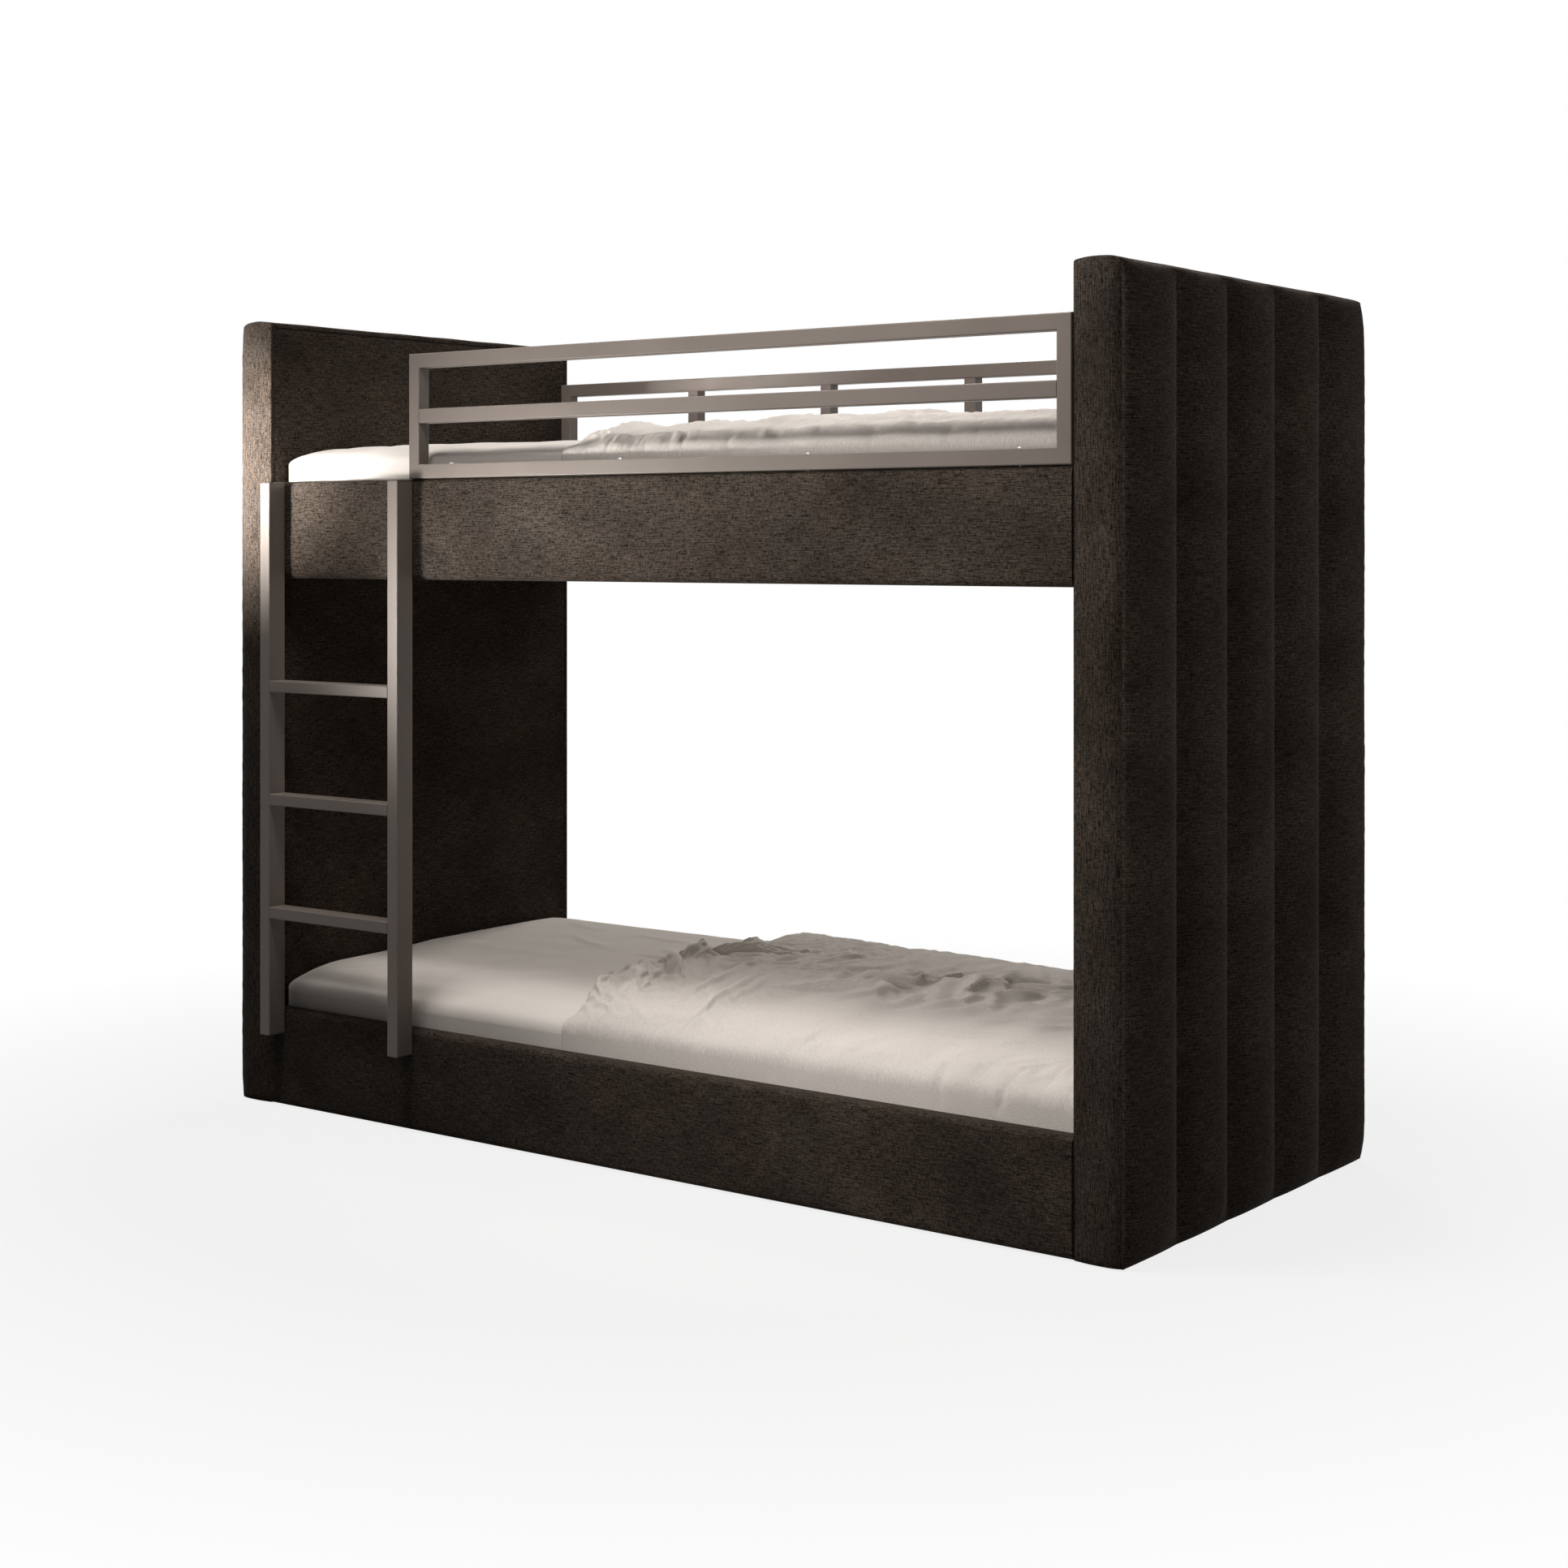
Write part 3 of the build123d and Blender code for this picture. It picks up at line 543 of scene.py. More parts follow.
# The border strip in section, in millimetres: across from the sleeper's side, and out
BORDER_SECTION = (
    (4.5, 4.6), (1.4, 4.8), (0.3, 5.8), (0.0, 8.0), (0.0, 10.6), (0.5, 12.4), (1.9, 13.6),
    (5.0, 14.6), (12.0, 15.9), (22.0, 17.3), (34.0, 18.4), (46.0, 18.95), (57.0, 18.9),
    (68.0, 18.2), (77.0, 16.8), (84.5, 14.5), (90.5, 11.6), (94.2, 9.2), (95.4, 7.6),
    (94.4, 6.4), (91.0, 6.0),
)
BORDER_BACK = ((90.0, 0.2), (12.0, 0.2), (12.0, 4.4))
OUTER_SEAM, SEAM_REACH = 0.088, 0.008
# Where the padding's waves begin, and the line over which the foot is tucked in
PADDED_FROM, PADDED_RISE = 0.012, 0.006
TUCKED_OVER = 0.006
# How far out the padding stands, by height above the border's foot
BORDER_FOOT = ((0.0, 0.8), (0.006, 0.96), (0.012, 1.0))


def border_rings(side, seed):
    """The border's section carried up the front, over the top and down the rear."""
    section = smooth_line(BORDER_SECTION, 2) / 1000
    back = np.array(BORDER_BACK) / 1000
    low_steps = [0.0, 0.002, 0.006, 0.012]
    climb = np.concatenate([low_steps, np.linspace(0.025, top_frame - floor_z, 95)])
    cross = np.linspace(front_frame, rear_frame, 60)
    turn = np.linspace(0, math.pi / 2, 7)[1:-1]
    corner = [(math.cos(t) ** BORDER_SQUARENESS, math.sin(t) ** BORDER_SQUARENESS) for t in turn]
    stations = [((front_frame, floor_z + z), (-1.0, 0.0)) for z in climb]
    stations += [((front_frame, top_frame), (-y, z)) for y, z in corner]
    stations += [((y, top_frame), (0.0, 1.0)) for y in cross]
    stations += [((rear_frame, top_frame), (y, z)) for y, z in corner[::-1]]
    stations += [((rear_frame, floor_z + z), (1.0, 0.0)) for z in climb[::-1]]
    run, rings, last = 0.0, [], stations[0][0]
    above, stand = np.transpose(BORDER_FOOT)
    foot = np.interp([z for (_, z), _ in stations], floor_z + above, stand)
    for ((y, z), (out_y, out_z)), tuck in zip(stations, foot):
        run += math.hypot(y - last[0], z - last[1])
        last = (y, z)
        across, out = section[:, 0], section[:, 1].copy()
        padded = ramp(out - PADDED_FROM, PADDED_RISE)
        out += padded * BORDER_WAVE * hills(run, across * 3, 0.24, seed)
        near_seam = bell(across - OUTER_SEAM, SEAM_REACH)
        out += near_seam * SEAM_RIPPLE * hills(run, across, 0.02, seed + 1)
        out = np.where(out > TUCKED_OVER, out * tuck, out)
        profile = np.vstack([np.column_stack([across, out]), back])
        x = side * (end_x + profile[:, 0])
        rings.append(np.column_stack([x, y + out_y * profile[:, 1], z + out_z * profile[:, 1]]))
    return rings


CHANNELS = 5
CHANNEL_CROWN = 0.028
CHANNEL_BULGE = 2.2
VALLEY_SOFTNESS = 1.15
CHANNEL_UNEVEN = 0.022
ROLLED_EDGE, ROLL_POWER = 0.011, 2.4
FOOT_SWELL, FOOT_CLOSE = 0.55, 0.45
SEAM_DEPTH = 0.0016
PUCKER, PUCKER_REACH, PUCKER_START, PUCKER_EASE = 0.0011, 0.012, 0.003, 0.03
GATHER, GATHER_REACH, GATHER_START = 0.0016, 0.045, 0.008
FACE_WAVE = 0.0005
PLEAT_DEPTH, PLEAT_WIDTH, PLEAT_LENGTH = 0.0028, 0.0022, 0.026
PLEAT_SLANT, PLEAT_START = 0.55, 0.002
DRAWN_LENGTH = 0.105
# How full a channel is, by its share of the drawn length from the panel's top or foot
DRAW_IN = ((0.0, 0.18), (0.08, 0.42), (0.22, 0.68), (0.45, 0.89), (0.7, 0.975), (1.0, 1.0))
# Rows lie closest together up to the first height from either end, and closely up to the second
CLOSEST_ROWS, CLOSE_ROWS = 0.02, 0.12
seam_x = channels_high.x - CHANNEL_CROWN
cover_x = channels_low.x


def channel_rings(side, seed):
    """The channelled face, ring by ring upwards: crowned channels between deep sewn seams."""
    low, high = channels_low, channels_high
    tall = high.z - low.z
    closest = np.linspace(0, CLOSEST_ROWS, 8)[:-1]
    ends = np.concatenate([closest, np.linspace(CLOSEST_ROWS, CLOSE_ROWS, 22)])
    middle = np.linspace(CLOSE_ROWS, tall - CLOSE_ROWS, 292)[1:-1]
    rise = np.concatenate([ends, middle, tall - ends[::-1]])
    share = np.cos(np.linspace(0, math.pi, 29))
    crowned = 1 - share**2
    edges = np.linspace(low.y, high.y, CHANNELS + 1)
    flat = (1.0, 0.0, 0.0)
    rings, traits = [], []
    for z in rise:
        end = min(z, tall - z)
        at_top = z > tall / 2
        close = (1 - (1 - min(end / ROLLED_EDGE, 1.0)) ** ROLL_POWER) ** (1 / ROLL_POWER)
        swell = float(table_curve(min(end / DRAWN_LENGTH, 1.0), DRAW_IN))
        swell *= close if at_top else FOOT_SWELL + FOOT_CLOSE * close
        gather = math.exp(-end / GATHER_REACH) * crowned
        gather = gather * (1 - math.exp(-end / GATHER_START)) * GATHER
        row = [(cover_x, low.y)]
        traits.append(flat)
        for n in range(CHANNELS):
            near, far = edges[n], edges[n + 1]
            y = (near + far) / 2 - share * (far - near) / 2
            outermost = (n == 0) & (share > 0) | (n == CHANNELS - 1) & (share < 0)
            fullness = 1 + CHANNEL_UNEVEN * hills(low.z + z, n * 1.7, 0.42, seed + n)
            from_seam = np.minimum(y - near, far - y)
            pucker = 1 - np.exp(-from_seam / PUCKER_START)
            pucker = np.exp(-from_seam / PUCKER_REACH) * pucker
            pucker = pucker * PUCKER * hills(z, y * 0.25 + n, 0.03, seed + 10 + n)
            out = seam_x - SEAM_DEPTH + pucker * min(1, end / PUCKER_EASE)
            out = out + gather * hills(y, z * 0.12, 0.034, seed + 20)
            out = out + FACE_WAVE * crowned * hills(y, z, 0.16, seed + 30)
            # Short pleats that fan out from the top of each seam
            if at_top:
                for way, seam in ((1, near), (-1, far)):
                    fold = way * (y - seam) - PLEAT_SLANT * (end - PLEAT_START)
                    depth = bell(fold, PLEAT_WIDTH)
                    out = out - PLEAT_DEPTH * (depth * math.exp(-((end / PLEAT_LENGTH) ** 2)))
            start = 0 if n == 0 else 1
            row += zip(out[start:], y[start:])
            full = [fullness * swell] * (len(share) - start)
            traits += zip(share[start:], full, outermost[start:])
        row.append((cover_x, high.y))
        traits.append(flat)
        x, y = np.transpose(row)
        x = side * np.maximum(x, cover_x)
        rings.append(np.column_stack([x, y, np.full(len(y), low.z + z)]))
    across, swell, outermost = np.array(traits, float).T
    return rings, {"across": across, "swell": swell, "outermost": outermost}


# The rule of the channels: each is crowned between its seams, softly where two meet and fully
# at the panel's edge
quilt = Growth(
    "channels", crown=CHANNEL_CROWN, roundness=CHANNEL_BULGE, valley=VALLEY_SOFTNESS, side=1.0
)
across, swell, outermost = (quilt.trait(key) for key in ("across", "swell", "outermost"))
roundness = quilt.given("roundness")
height = quilt.math("SUBTRACT", 1.0, quilt.math("POWER", quilt.math("ABSOLUTE", across), roundness))
height = quilt.math("MAXIMUM", height, 0.0)
soft = quilt.math("POWER", height, quilt.given("valley"))
full = quilt.math("POWER", height, quilt.math("DIVIDE", 1.0, roundness))
more = quilt.times(outermost, quilt.math("SUBTRACT", full, soft))
bulge = quilt.times(quilt.plus(soft, more), swell, quilt.given("crown"), quilt.given("side"))
raised = quilt.vector(x=bulge)
quilt.finish(
    quilt.node("GeometryNodeSetPosition", Geometry=quilt.given("Geometry"), Offset=raised)
)

FACE_ROLL, FACE_ROLL_REACH, INNER_WAVE = 0.0042, 0.008, 0.00035
FACE_SET_IN = 0.0002


def rolled(inset):
    """How far the inner face's edge is turned in, by distance from the edge."""
    return FACE_ROLL * (1 - np.sqrt(1 - (1 - ramp(inset, FACE_ROLL_REACH)) ** 2))


def face_rings(side, seed):
    """The thinly padded inner face, ring by ring upwards, its edges turned in to the seam."""
    low, high = inner_low, inner_high
    inset = np.array([0, 0.0008, 0.002, 0.004, 0.008, 0.014])
    middle = np.linspace(low.y + 0.02, high.y - 0.02, 60)
    y = np.concatenate([low.y + inset, middle, high.y - inset[::-1]])
    edge = np.concatenate([rolled(inset), np.zeros(60), rolled(inset)[::-1]])
    tall = high.z - low.z
    rise = np.concatenate([np.linspace(0, tall - 0.02, 110), tall - inset[::-1]])
    rings = []
    for z in rise:
        out = np.maximum(edge, rolled(tall - z))
        soft = ramp(np.minimum(np.minimum(y - low.y, high.y - y), tall - z), 0.05)
        out = out + INNER_WAVE * soft * (1 + hills(y, z, 0.3, seed))
        x = np.concatenate([low.x + out, [high.x - FACE_SET_IN] * 2])
        ring_y = np.concatenate([y, [high.y, low.y]])
        rings.append(np.column_stack([side * x, ring_y, np.full(len(x), low.z + z)]))
    return rings


for side, end, seed in ((RIGHT, "right", 100), (LEFT, "left", 200)):
    covered(f"{end}_end_border", border_rings(side, seed))
    covered(f"{end}_end_inner_face", face_rings(side, seed), thread_across=True)
    rings, traits = channel_rings(side, seed)
    corners, faces, _ = skin(rings, thread_across=True)
    name = f"{end}_end_channels"
    made = quilt.grown(f"{name}_cloth", corners, [], faces, upholstery, traits, side=float(side))
    shaped = np.empty(corners.size, np.float32)
    made.data.vertices.foreach_get("co", shaped)
    flat_map = skin(shaped.reshape(np.shape(rings)), thread_across=True)[2]
    dressed(made, flat_map)
    ridden(made, "bed_frame", (name,))


# Side rails

RAIL_WRAP = 0.040
WRAP_THICKNESS = 0.003
RAIL_EDGE, BACK_EDGE = 0.012, 0.003
FRONT_PAD, EDGE_PAD = 0.009, 0.005
FACE_CROWN = 0.0015
FACE_UNEVEN, TOP_UNEVEN, MEAN_UNEVEN = 0.0005, 0.0006, 0.6
FACE_SET_BACK = 0.0002
RAIL_EASE = 0.05


def arc(centre, radius, start, stop, steps):
    """Points along an arc, by angles in degrees."""
    t = np.radians(np.linspace(start, stop, steps))
    return np.column_stack([centre[0] + radius * np.cos(t), centre[1] + radius * np.sin(t)])


def rail_section(depth, tall):
    """A wrapped rail in section from its face backwards: (depth, height) points."""
    bulge = np.linspace(RAIL_EDGE, tall - RAIL_EDGE, 26)[1:-1]
    crown = FACE_CROWN * (1 - np.sin((bulge - RAIL_EDGE) / (tall - 2 * RAIL_EDGE) * math.pi) ** 0.6)
    core, lip = depth - WRAP_THICKNESS, depth - 0.001
    wrap, pad = tall - RAIL_WRAP, tall - EDGE_PAD
    edge = FACE_CROWN + RAIL_EDGE
    return np.vstack([
        arc((edge, RAIL_EDGE), RAIL_EDGE, 270, 180, 9),
        np.column_stack([crown, bulge]),
        arc((edge, tall - RAIL_EDGE), RAIL_EDGE, 180, 90, 9),
        arc((depth - BACK_EDGE, tall - BACK_EDGE), BACK_EDGE, 90, 0, 5),
        [(depth, wrap + 0.001), (lip, wrap), (core, wrap)],
        [(core, pad), (FRONT_PAD, pad), (FRONT_PAD, EDGE_PAD), (core, EDGE_PAD)],
        [(core, RAIL_WRAP), (lip, RAIL_WRAP), (depth, RAIL_WRAP - 0.001)],
        arc((depth - BACK_EDGE, BACK_EDGE), BACK_EDGE, 0, -90, 5),
    ])


def rail_rings(low, high, mirrored, seed):
    """The rail's section carried along the bed, with the soft unevenness of padding."""
    depth, tall = high.y - low.y, high.z - low.z
    section = rail_section(depth, tall)
    rings = []
    for x in np.linspace(low.x, high.x, 150):
        back, up = section[:, 0].copy(), section[:, 1].copy()
        on_face = np.clip(1 - back / 0.012, 0, 1)
        on_top = ramp(up - tall + 0.004, 0.004)
        on_top = on_top * np.clip(1 - np.abs(back - 0.02) / 0.018, 0, 1)
        end = min(x - low.x, high.x - x)
        ease = min(1.0, end / RAIL_EASE)
        uneven = FACE_UNEVEN * ease * (MEAN_UNEVEN + hills(x, up * 2, 0.3, seed))
        back += on_face * (FACE_SET_BACK + uneven)
        up -= on_top * TOP_UNEVEN * ease * (MEAN_UNEVEN + hills(x, back, 0.22, seed + 1))
        y = high.y - back if mirrored else low.y + back
        rings.append(np.column_stack([np.full(len(y), x), y, low.z + up]))
    return rings


seed = 300
for level in ("lower", "upper"):
    for row in ("front", "rear"):
        name = f"{level}_{row}_rail_cover"
        seed += 10
        covered(name, rail_rings(*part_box(name), row == "rear", seed))


# Bedding

# How far the made-up bed lies under its highest line, by distance in from its side
FRONT_SHOULDER = (
    (0.0, -0.060), (0.004, -0.047), (0.012, -0.039), (0.031, -0.031), (0.055, -0.0245),
    (0.078, -0.019), (0.133, -0.011), (0.209, -0.0085), (0.312, -0.0065), (0.393, -0.003),
    (0.445, 0.0),
)
REAR_SHOULDER = (
    (0.0, -0.034), (0.004, -0.018), (0.012, -0.007), (0.025, -0.001), (0.045, 0.001), (0.1, 0.002),
    (0.15, 0.002), (0.28, 0.001), (0.445, 0.0),
)
SHOULDER_REACH, END_REACH = 0.445, 0.045
END_FALL = ((0.0, -0.012), (0.003, -0.0065), (0.008, -0.003), (0.02, -0.0008), (0.045, 0.0))
PLAN_CORNER = 0.018


def rounded_plan(across, along, half_width, half_length, radius):
    """Moves points of a rectangle's corners in, so that the corners are round."""
    over_y = np.abs(across) - (half_width - radius)
    over_x = np.abs(along) - (half_length - radius)
    corner = (over_x > 0) & (over_y > 0)
    reach = np.maximum(over_x, over_y)
    length = np.hypot(over_x, over_y)
    scale = np.where(corner & (length > 0), reach / np.maximum(length, 1e-9), 1.0)
    new_y = np.where(corner, half_width - radius + over_y * scale, np.abs(across))
    new_x = np.where(corner, half_length - radius + over_x * scale, np.abs(along))
    return np.sign(across) * new_y, np.sign(along) * new_x


def spaced(length, step, edge_steps):
    """Places along a length, close together near both ends."""
    edge = np.array(edge_steps)
    inner = np.linspace(edge[-1], length - edge[-1], max(2, int((length - 2 * edge[-1]) / step)))
    return np.concatenate([edge[:-1], inner, length - edge[:-1][::-1]])


EDGE_STEPS = (0.0, 0.002, 0.005, 0.010, 0.017, 0.026, 0.038, 0.052)


def plan_grid(low, high, step):
    """Plan points over a box with round corners, and half its length and width."""
    middle = (low + high) / 2
    half_x, half_y = (high.x - low.x) / 2, (high.y - low.y) / 2
    xs = spaced(2 * half_x, step, EDGE_STEPS) - half_x
    ys = spaced(2 * half_y, step, EDGE_STEPS) - half_y
    grid_x, grid_y = np.meshgrid(xs, ys, indexing="ij")
    grid_y, grid_x = rounded_plan(grid_y, grid_x, half_y, half_x, PLAN_CORNER)
    return grid_x + middle.x, grid_y + middle.y, half_x, half_y


def rim_of(grid):
    """The edge of a grid of points, once round."""
    return np.concatenate([grid[:, 0], grid[-1, 1:], grid[-2::-1, -1], grid[0, -2:0:-1]])


def grid_faces(count_x, count_y):
    """The four-cornered faces of a grid of points, which face up."""
    index = np.arange(count_x * count_y).reshape(count_x, count_y)
    faces = np.stack([index[:-1, :-1], index[1:, :-1], index[1:, 1:], index[:-1, 1:]], -1)
    return faces.reshape(-1, 4).tolist()


def blanket(top, skirt_rows):
    """Corners, faces and map of a cloth: a grid of points with rows hanging from its edge.

    skirt_rows are (down, out, travel) steps from the edge. The map is the plan, unrolled over
    the edge. The lowest row's corners come last.
    """
    count_x, count_y = top.shape[:2]
    faces = grid_faces(count_x, count_y)
    rim = rim_of(np.arange(count_x * count_y).reshape(count_x, count_y))
    corners, flat = [top.reshape(-1, 3)], [top.reshape(-1, 3)[:, :2]]
    edge, edge_flat = corners[0][rim], flat[0][rim]
    tangent = np.roll(edge_flat, -1, 0) - np.roll(edge_flat, 1, 0)
    outward = np.column_stack([tangent[:, 1], -tangent[:, 0]])
    outward = outward / np.maximum(np.linalg.norm(outward, axis=1), 1e-9)[:, None]
    above = rim
    for down, out, travel in skirt_rows:
        down = np.broadcast_to(down, len(rim))
        sideways = outward * np.broadcast_to(out, len(rim))[:, None]
        corners.append(edge + np.column_stack([sideways, -down]))
        flat.append(edge_flat + outward * travel)
        below = sum(len(c) for c in corners[:-1]) + np.arange(len(rim))
        faces += np.stack([above, below, np.roll(below, -1), np.roll(above, -1)], -1).tolist()
        above = below
    corners, flat = np.vstack(corners), np.vstack(flat)
    return corners, faces, flat[np.concatenate([np.array(f) for f in faces])]


def shoulder(y, low_y, high_y):
    """How far the bed lies under its highest line at y, between its two sides."""
    front = table_curve(np.clip(y - low_y, 0, SHOULDER_REACH), FRONT_SHOULDER)
    rear = table_curve(np.clip(high_y - y, 0, SHOULDER_REACH), REAR_SHOULDER)
    return np.where(y < (low_y + high_y) / 2, front, rear)


def bed_top(x, y, low, high):
    """Height of the made-up mattress over a plan point."""
    from_end = np.minimum(x - low.x, high.x - x)
    fall = table_curve(np.clip(from_end, 0, END_REACH), END_FALL)
    return high.z + shoulder(y, low.y, high.y) + fall


def creases(a, b, length, seed, width=0.16):
    """Thin winding lines, 1 on a line and 0 away from it, about this far apart."""
    return bell(hills(a, b, length, seed), width)


FOLD_BEND, FOLD_TAPER, STEEPEST = 0.16, 1.15, 0.85


def strokes(x, y, rows):
    """Folds: each row is (x0, y0, x1, y1, height, width, lean), a ridge steeper on one side."""
    total = 0.0
    for x0, y0, x1, y1, height, width, lean in rows:
        run_x, run_y = x1 - x0, y1 - y0
        length = math.hypot(run_x, run_y)
        t = ((x - x0) * run_x + (y - y0) * run_y) / length**2
        away = ((x - x0) * run_y - (y - y0) * run_x) / length
        away = away + FOLD_BEND * length * (np.clip(t, 0, 1) - 0.5) ** 2 * np.sign(lean)
        taper = eased(np.clip(FOLD_TAPER - np.abs(t - 0.5) * 2, 0, 1))
        steep = min(abs(lean), STEEPEST)
        wide = width * np.where(away * np.sign(lean) > 0, 1 - steep, 1 + steep)
        total = total + height * taper * bell(away, wide)
    return total


# The line of the duvet's hem over the bed: y, x
HEM = (
    (-0.5, -0.188), (-0.4075, -0.19), (-0.36, -0.197), (-0.0975, -0.31), (0.0125, -0.32),
    (0.1125, -0.324), (0.3655, -0.31), (0.52, -0.298),
)

# The fitted sheets' folds, most of which run to the duvet's bunched head end. Each row of folds
# is x0, y0, x1, y1, height, width, lean
SHEET_FOLDS = (
    (-0.483, 0.120, -0.33, 0.112, 0.0045, 0.010, 0.5),
    (-0.473, 0.226, -0.335, 0.130, 0.0050, 0.010, 0.5),
    (-0.392, 0.240, -0.325, 0.140, 0.0045, 0.009, -0.5),
    (-0.430, 0.050, -0.325, 0.095, 0.0035, 0.010, -0.5),
    (-0.400, -0.040, -0.322, 0.070, 0.0030, 0.011, -0.5),
    (-0.780, 0.252, -0.560, 0.132, 0.0042, 0.014, 0.6),
    (-0.660, 0.330, -0.400, 0.290, 0.0040, 0.016, 0.5),
    (-0.900, 0.380, -0.740, 0.330, 0.0030, 0.016, 0.5),
    (-0.930, -0.330, -0.840, -0.230, 0.0030, 0.008, 0.6),
    (-0.800, -0.340, -0.730, -0.250, 0.0024, 0.008, 0.6),
    (-0.970, -0.100, -0.860, 0.060, 0.0022, 0.020, -0.4),
    (-0.600, -0.280, -0.420, -0.130, 0.0018, 0.030, 0.3),
)
SHEET_RIPPLE, SHEET_PULL, SHEET_CREASE = 0.0007, 0.0012, 0.0007


def sheet_wrinkles(x, y, low, high, seed):
    """Faint pulls and a few soft creases in a fitted sheet."""
    from_rim = np.minimum(np.minimum(y - low.y, high.y - y), np.minimum(x - low.x, high.x - x))
    inside = ramp(from_rim, 0.05)
    pull = SHEET_RIPPLE * hills(x, y, 0.13, seed)
    pull = pull + SHEET_PULL * hills(x, y * 0.6, 0.34, seed + 1)
    pull = pull - SHEET_CREASE * creases(x, y * 0.5, 0.16, seed + 2)
    bare = ramp(table_curve(y, HEM) + 0.03 - x, 0.04)
    return inside * (pull * (0.3 + 0.7 * bare) + strokes(x, y, SHEET_FOLDS) * bare)


BEDDING_CREASE = 80
SHEET_SEEDS = {"lower": 41, "upper": 61}
SHEET_REACH = 0.0055
SHEET_THICKNESS = 0.0008
MATTRESS_STEP, SHEET_STEP = 0.02, 0.008
SHEET_CLEARANCE = 0.0015
# The mattress's side, by share of its height from the top, and how far it stands out there
SIDE_ROWS = (
    (0.03, 0.0), (0.1, -0.0015), (0.25, 0.0), (0.5, 0.0), (0.8, -0.001), (0.92, -0.004),
    (0.975, -0.010), (1.0, -0.02),
)

for level in ("lower", "upper"):
    body = f"{level}_mattress_body"

    # Mattress: a block, rounded at its foot
    low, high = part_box(f"{level}_mattress")
    plan_x, plan_y, _, _ = plan_grid(low, high, MATTRESS_STEP)
    top_z = bed_top(plan_x, plan_y, low, high) - SHEET_CLEARANCE
    top = np.stack([plan_x, plan_y, top_z], -1)
    rim_z = rim_of(top[..., 2])
    tall = rim_z - low.z
    rows = [(share * tall, out, share * float(tall.mean())) for share, out in SIDE_ROWS]
    corners, faces, flat = blanket(top, rows)
    underside = np.arange(len(corners) - len(rim_z), len(corners))[::-1]
    faces.append(underside.tolist())
    flat = np.vstack([flat, corners[underside][:, :2]])
    made = piece(
        f"{level}_mattress_block", corners, faces, flat, ticking, body, "mattress_cloth",
        (f"{level}_mattress",),
    )

    # Fitted sheet, which reaches both end panels
    low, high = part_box(f"{level}_fitted_sheet")
    low.x, high.x = low.x - SHEET_REACH, high.x + SHEET_REACH
    plan_x, plan_y, half_x, half_y = plan_grid(low, high, SHEET_STEP)
    top_z = bed_top(plan_x, plan_y, low, high)
    top_z = top_z + sheet_wrinkles(plan_x, plan_y, low, high, SHEET_SEEDS[level])
    top = np.stack([plan_x, plan_y, top_z], -1)
    rim_z = rim_of(top_z)
    tall = rim_z - low.z
    # The elastic hem gathers the cloth in small waves
    around = np.arange(len(rim_z))
    gather = 0.0009 * np.sin(around * 1.3) + 0.0006 * np.sin(around * 0.71 + 1) - 0.0008
    drop = float(tall.mean())
    rows = [(share * tall, gather * share, share * drop) for share in np.linspace(0.02, 1, 14)]
    made = piece(
        f"{level}_sheet_cloth", *blanket(top, rows), sheet_cotton, body, "sheet_cotton",
        (f"{level}_fitted_sheet",), BEDDING_CREASE,
    )
    thickened(made, SHEET_THICKNESS)


# Duvets: tucked at the front, rear and foot, bunched up near the head end, in long soft folds
DUVET_LOFT = (
    (0.0, 0.0022), (0.012, 0.0055), (0.04, 0.012), (0.09, 0.018), (0.2, 0.022), (2.0, 0.022)
)
DUVET_SIDE = 0.0045
FOOT_FALL, FOOT_FALL_REACH = 0.02, 0.012
RIM_REACH, RIM_RISE = 0.04, 0.15
DUVET_WAVE, DUVET_RIPPLE = 0.003, 0.0011
DRAPE_CREASE, FINE_DRAPE_CREASE = 0.0024, 0.0014
HEAD_CREASE, BED_CREASE = 0.0012, 0.0007
TUCK_LINE = 0.008
LOWER_FOLDS = (
    (-0.150, -0.367, -0.312, -0.088, 0.017, 0.024, 0.6),
    (-0.195, -0.350, -0.250, -0.230, 0.007, 0.010, 0.5),
    (-0.070, -0.330, -0.318, 0.022, 0.020, 0.030, 0.6),
    (-0.270, 0.050, -0.070, -0.137, 0.018, 0.020, -0.6),
    (-0.310, 0.155, -0.096, -0.007, 0.022, 0.022, -0.7),
    (-0.300, 0.090, -0.180, 0.030, 0.010, 0.012, 0.4),
    (-0.205, 0.085, -0.110, 0.180, 0.016, 0.020, 0.6),
    (-0.245, 0.130, -0.130, 0.240, 0.013, 0.022, 0.4),
    (-0.290, 0.300, -0.150, 0.210, 0.014, 0.024, -0.5),
    (-0.300, 0.400, 0.050, 0.440, 0.012, 0.060, 0.2),
    (-0.180, 0.380, 0.120, 0.330, 0.010, 0.050, -0.4),
    (0.121, -0.364, 0.027, 0.015, 0.009, 0.026, 0.6),
    (0.040, -0.330, -0.061, 0.130, 0.009, 0.030, 0.5),
    (0.230, -0.400, 0.300, -0.150, 0.008, 0.026, -0.5),
    (0.100, -0.100, 0.400, 0.020, 0.014, 0.032, 0.7),
    (0.250, 0.010, 0.400, 0.120, 0.012, 0.022, 0.6),
    (0.330, 0.060, 0.520, 0.100, 0.012, 0.020, -0.6),
    (0.180, -0.320, 0.420, 0.060, 0.007, 0.036, 0.3),
    (0.420, -0.380, 0.300, 0.120, 0.007, 0.040, 0.3),
    (0.560, -0.370, 0.700, 0.090, 0.008, 0.045, -0.3),
    (0.780, -0.380, 0.700, 0.200, 0.007, 0.045, 0.3),
    (0.900, -0.330, 0.960, 0.300, 0.006, 0.055, 0.3),
)
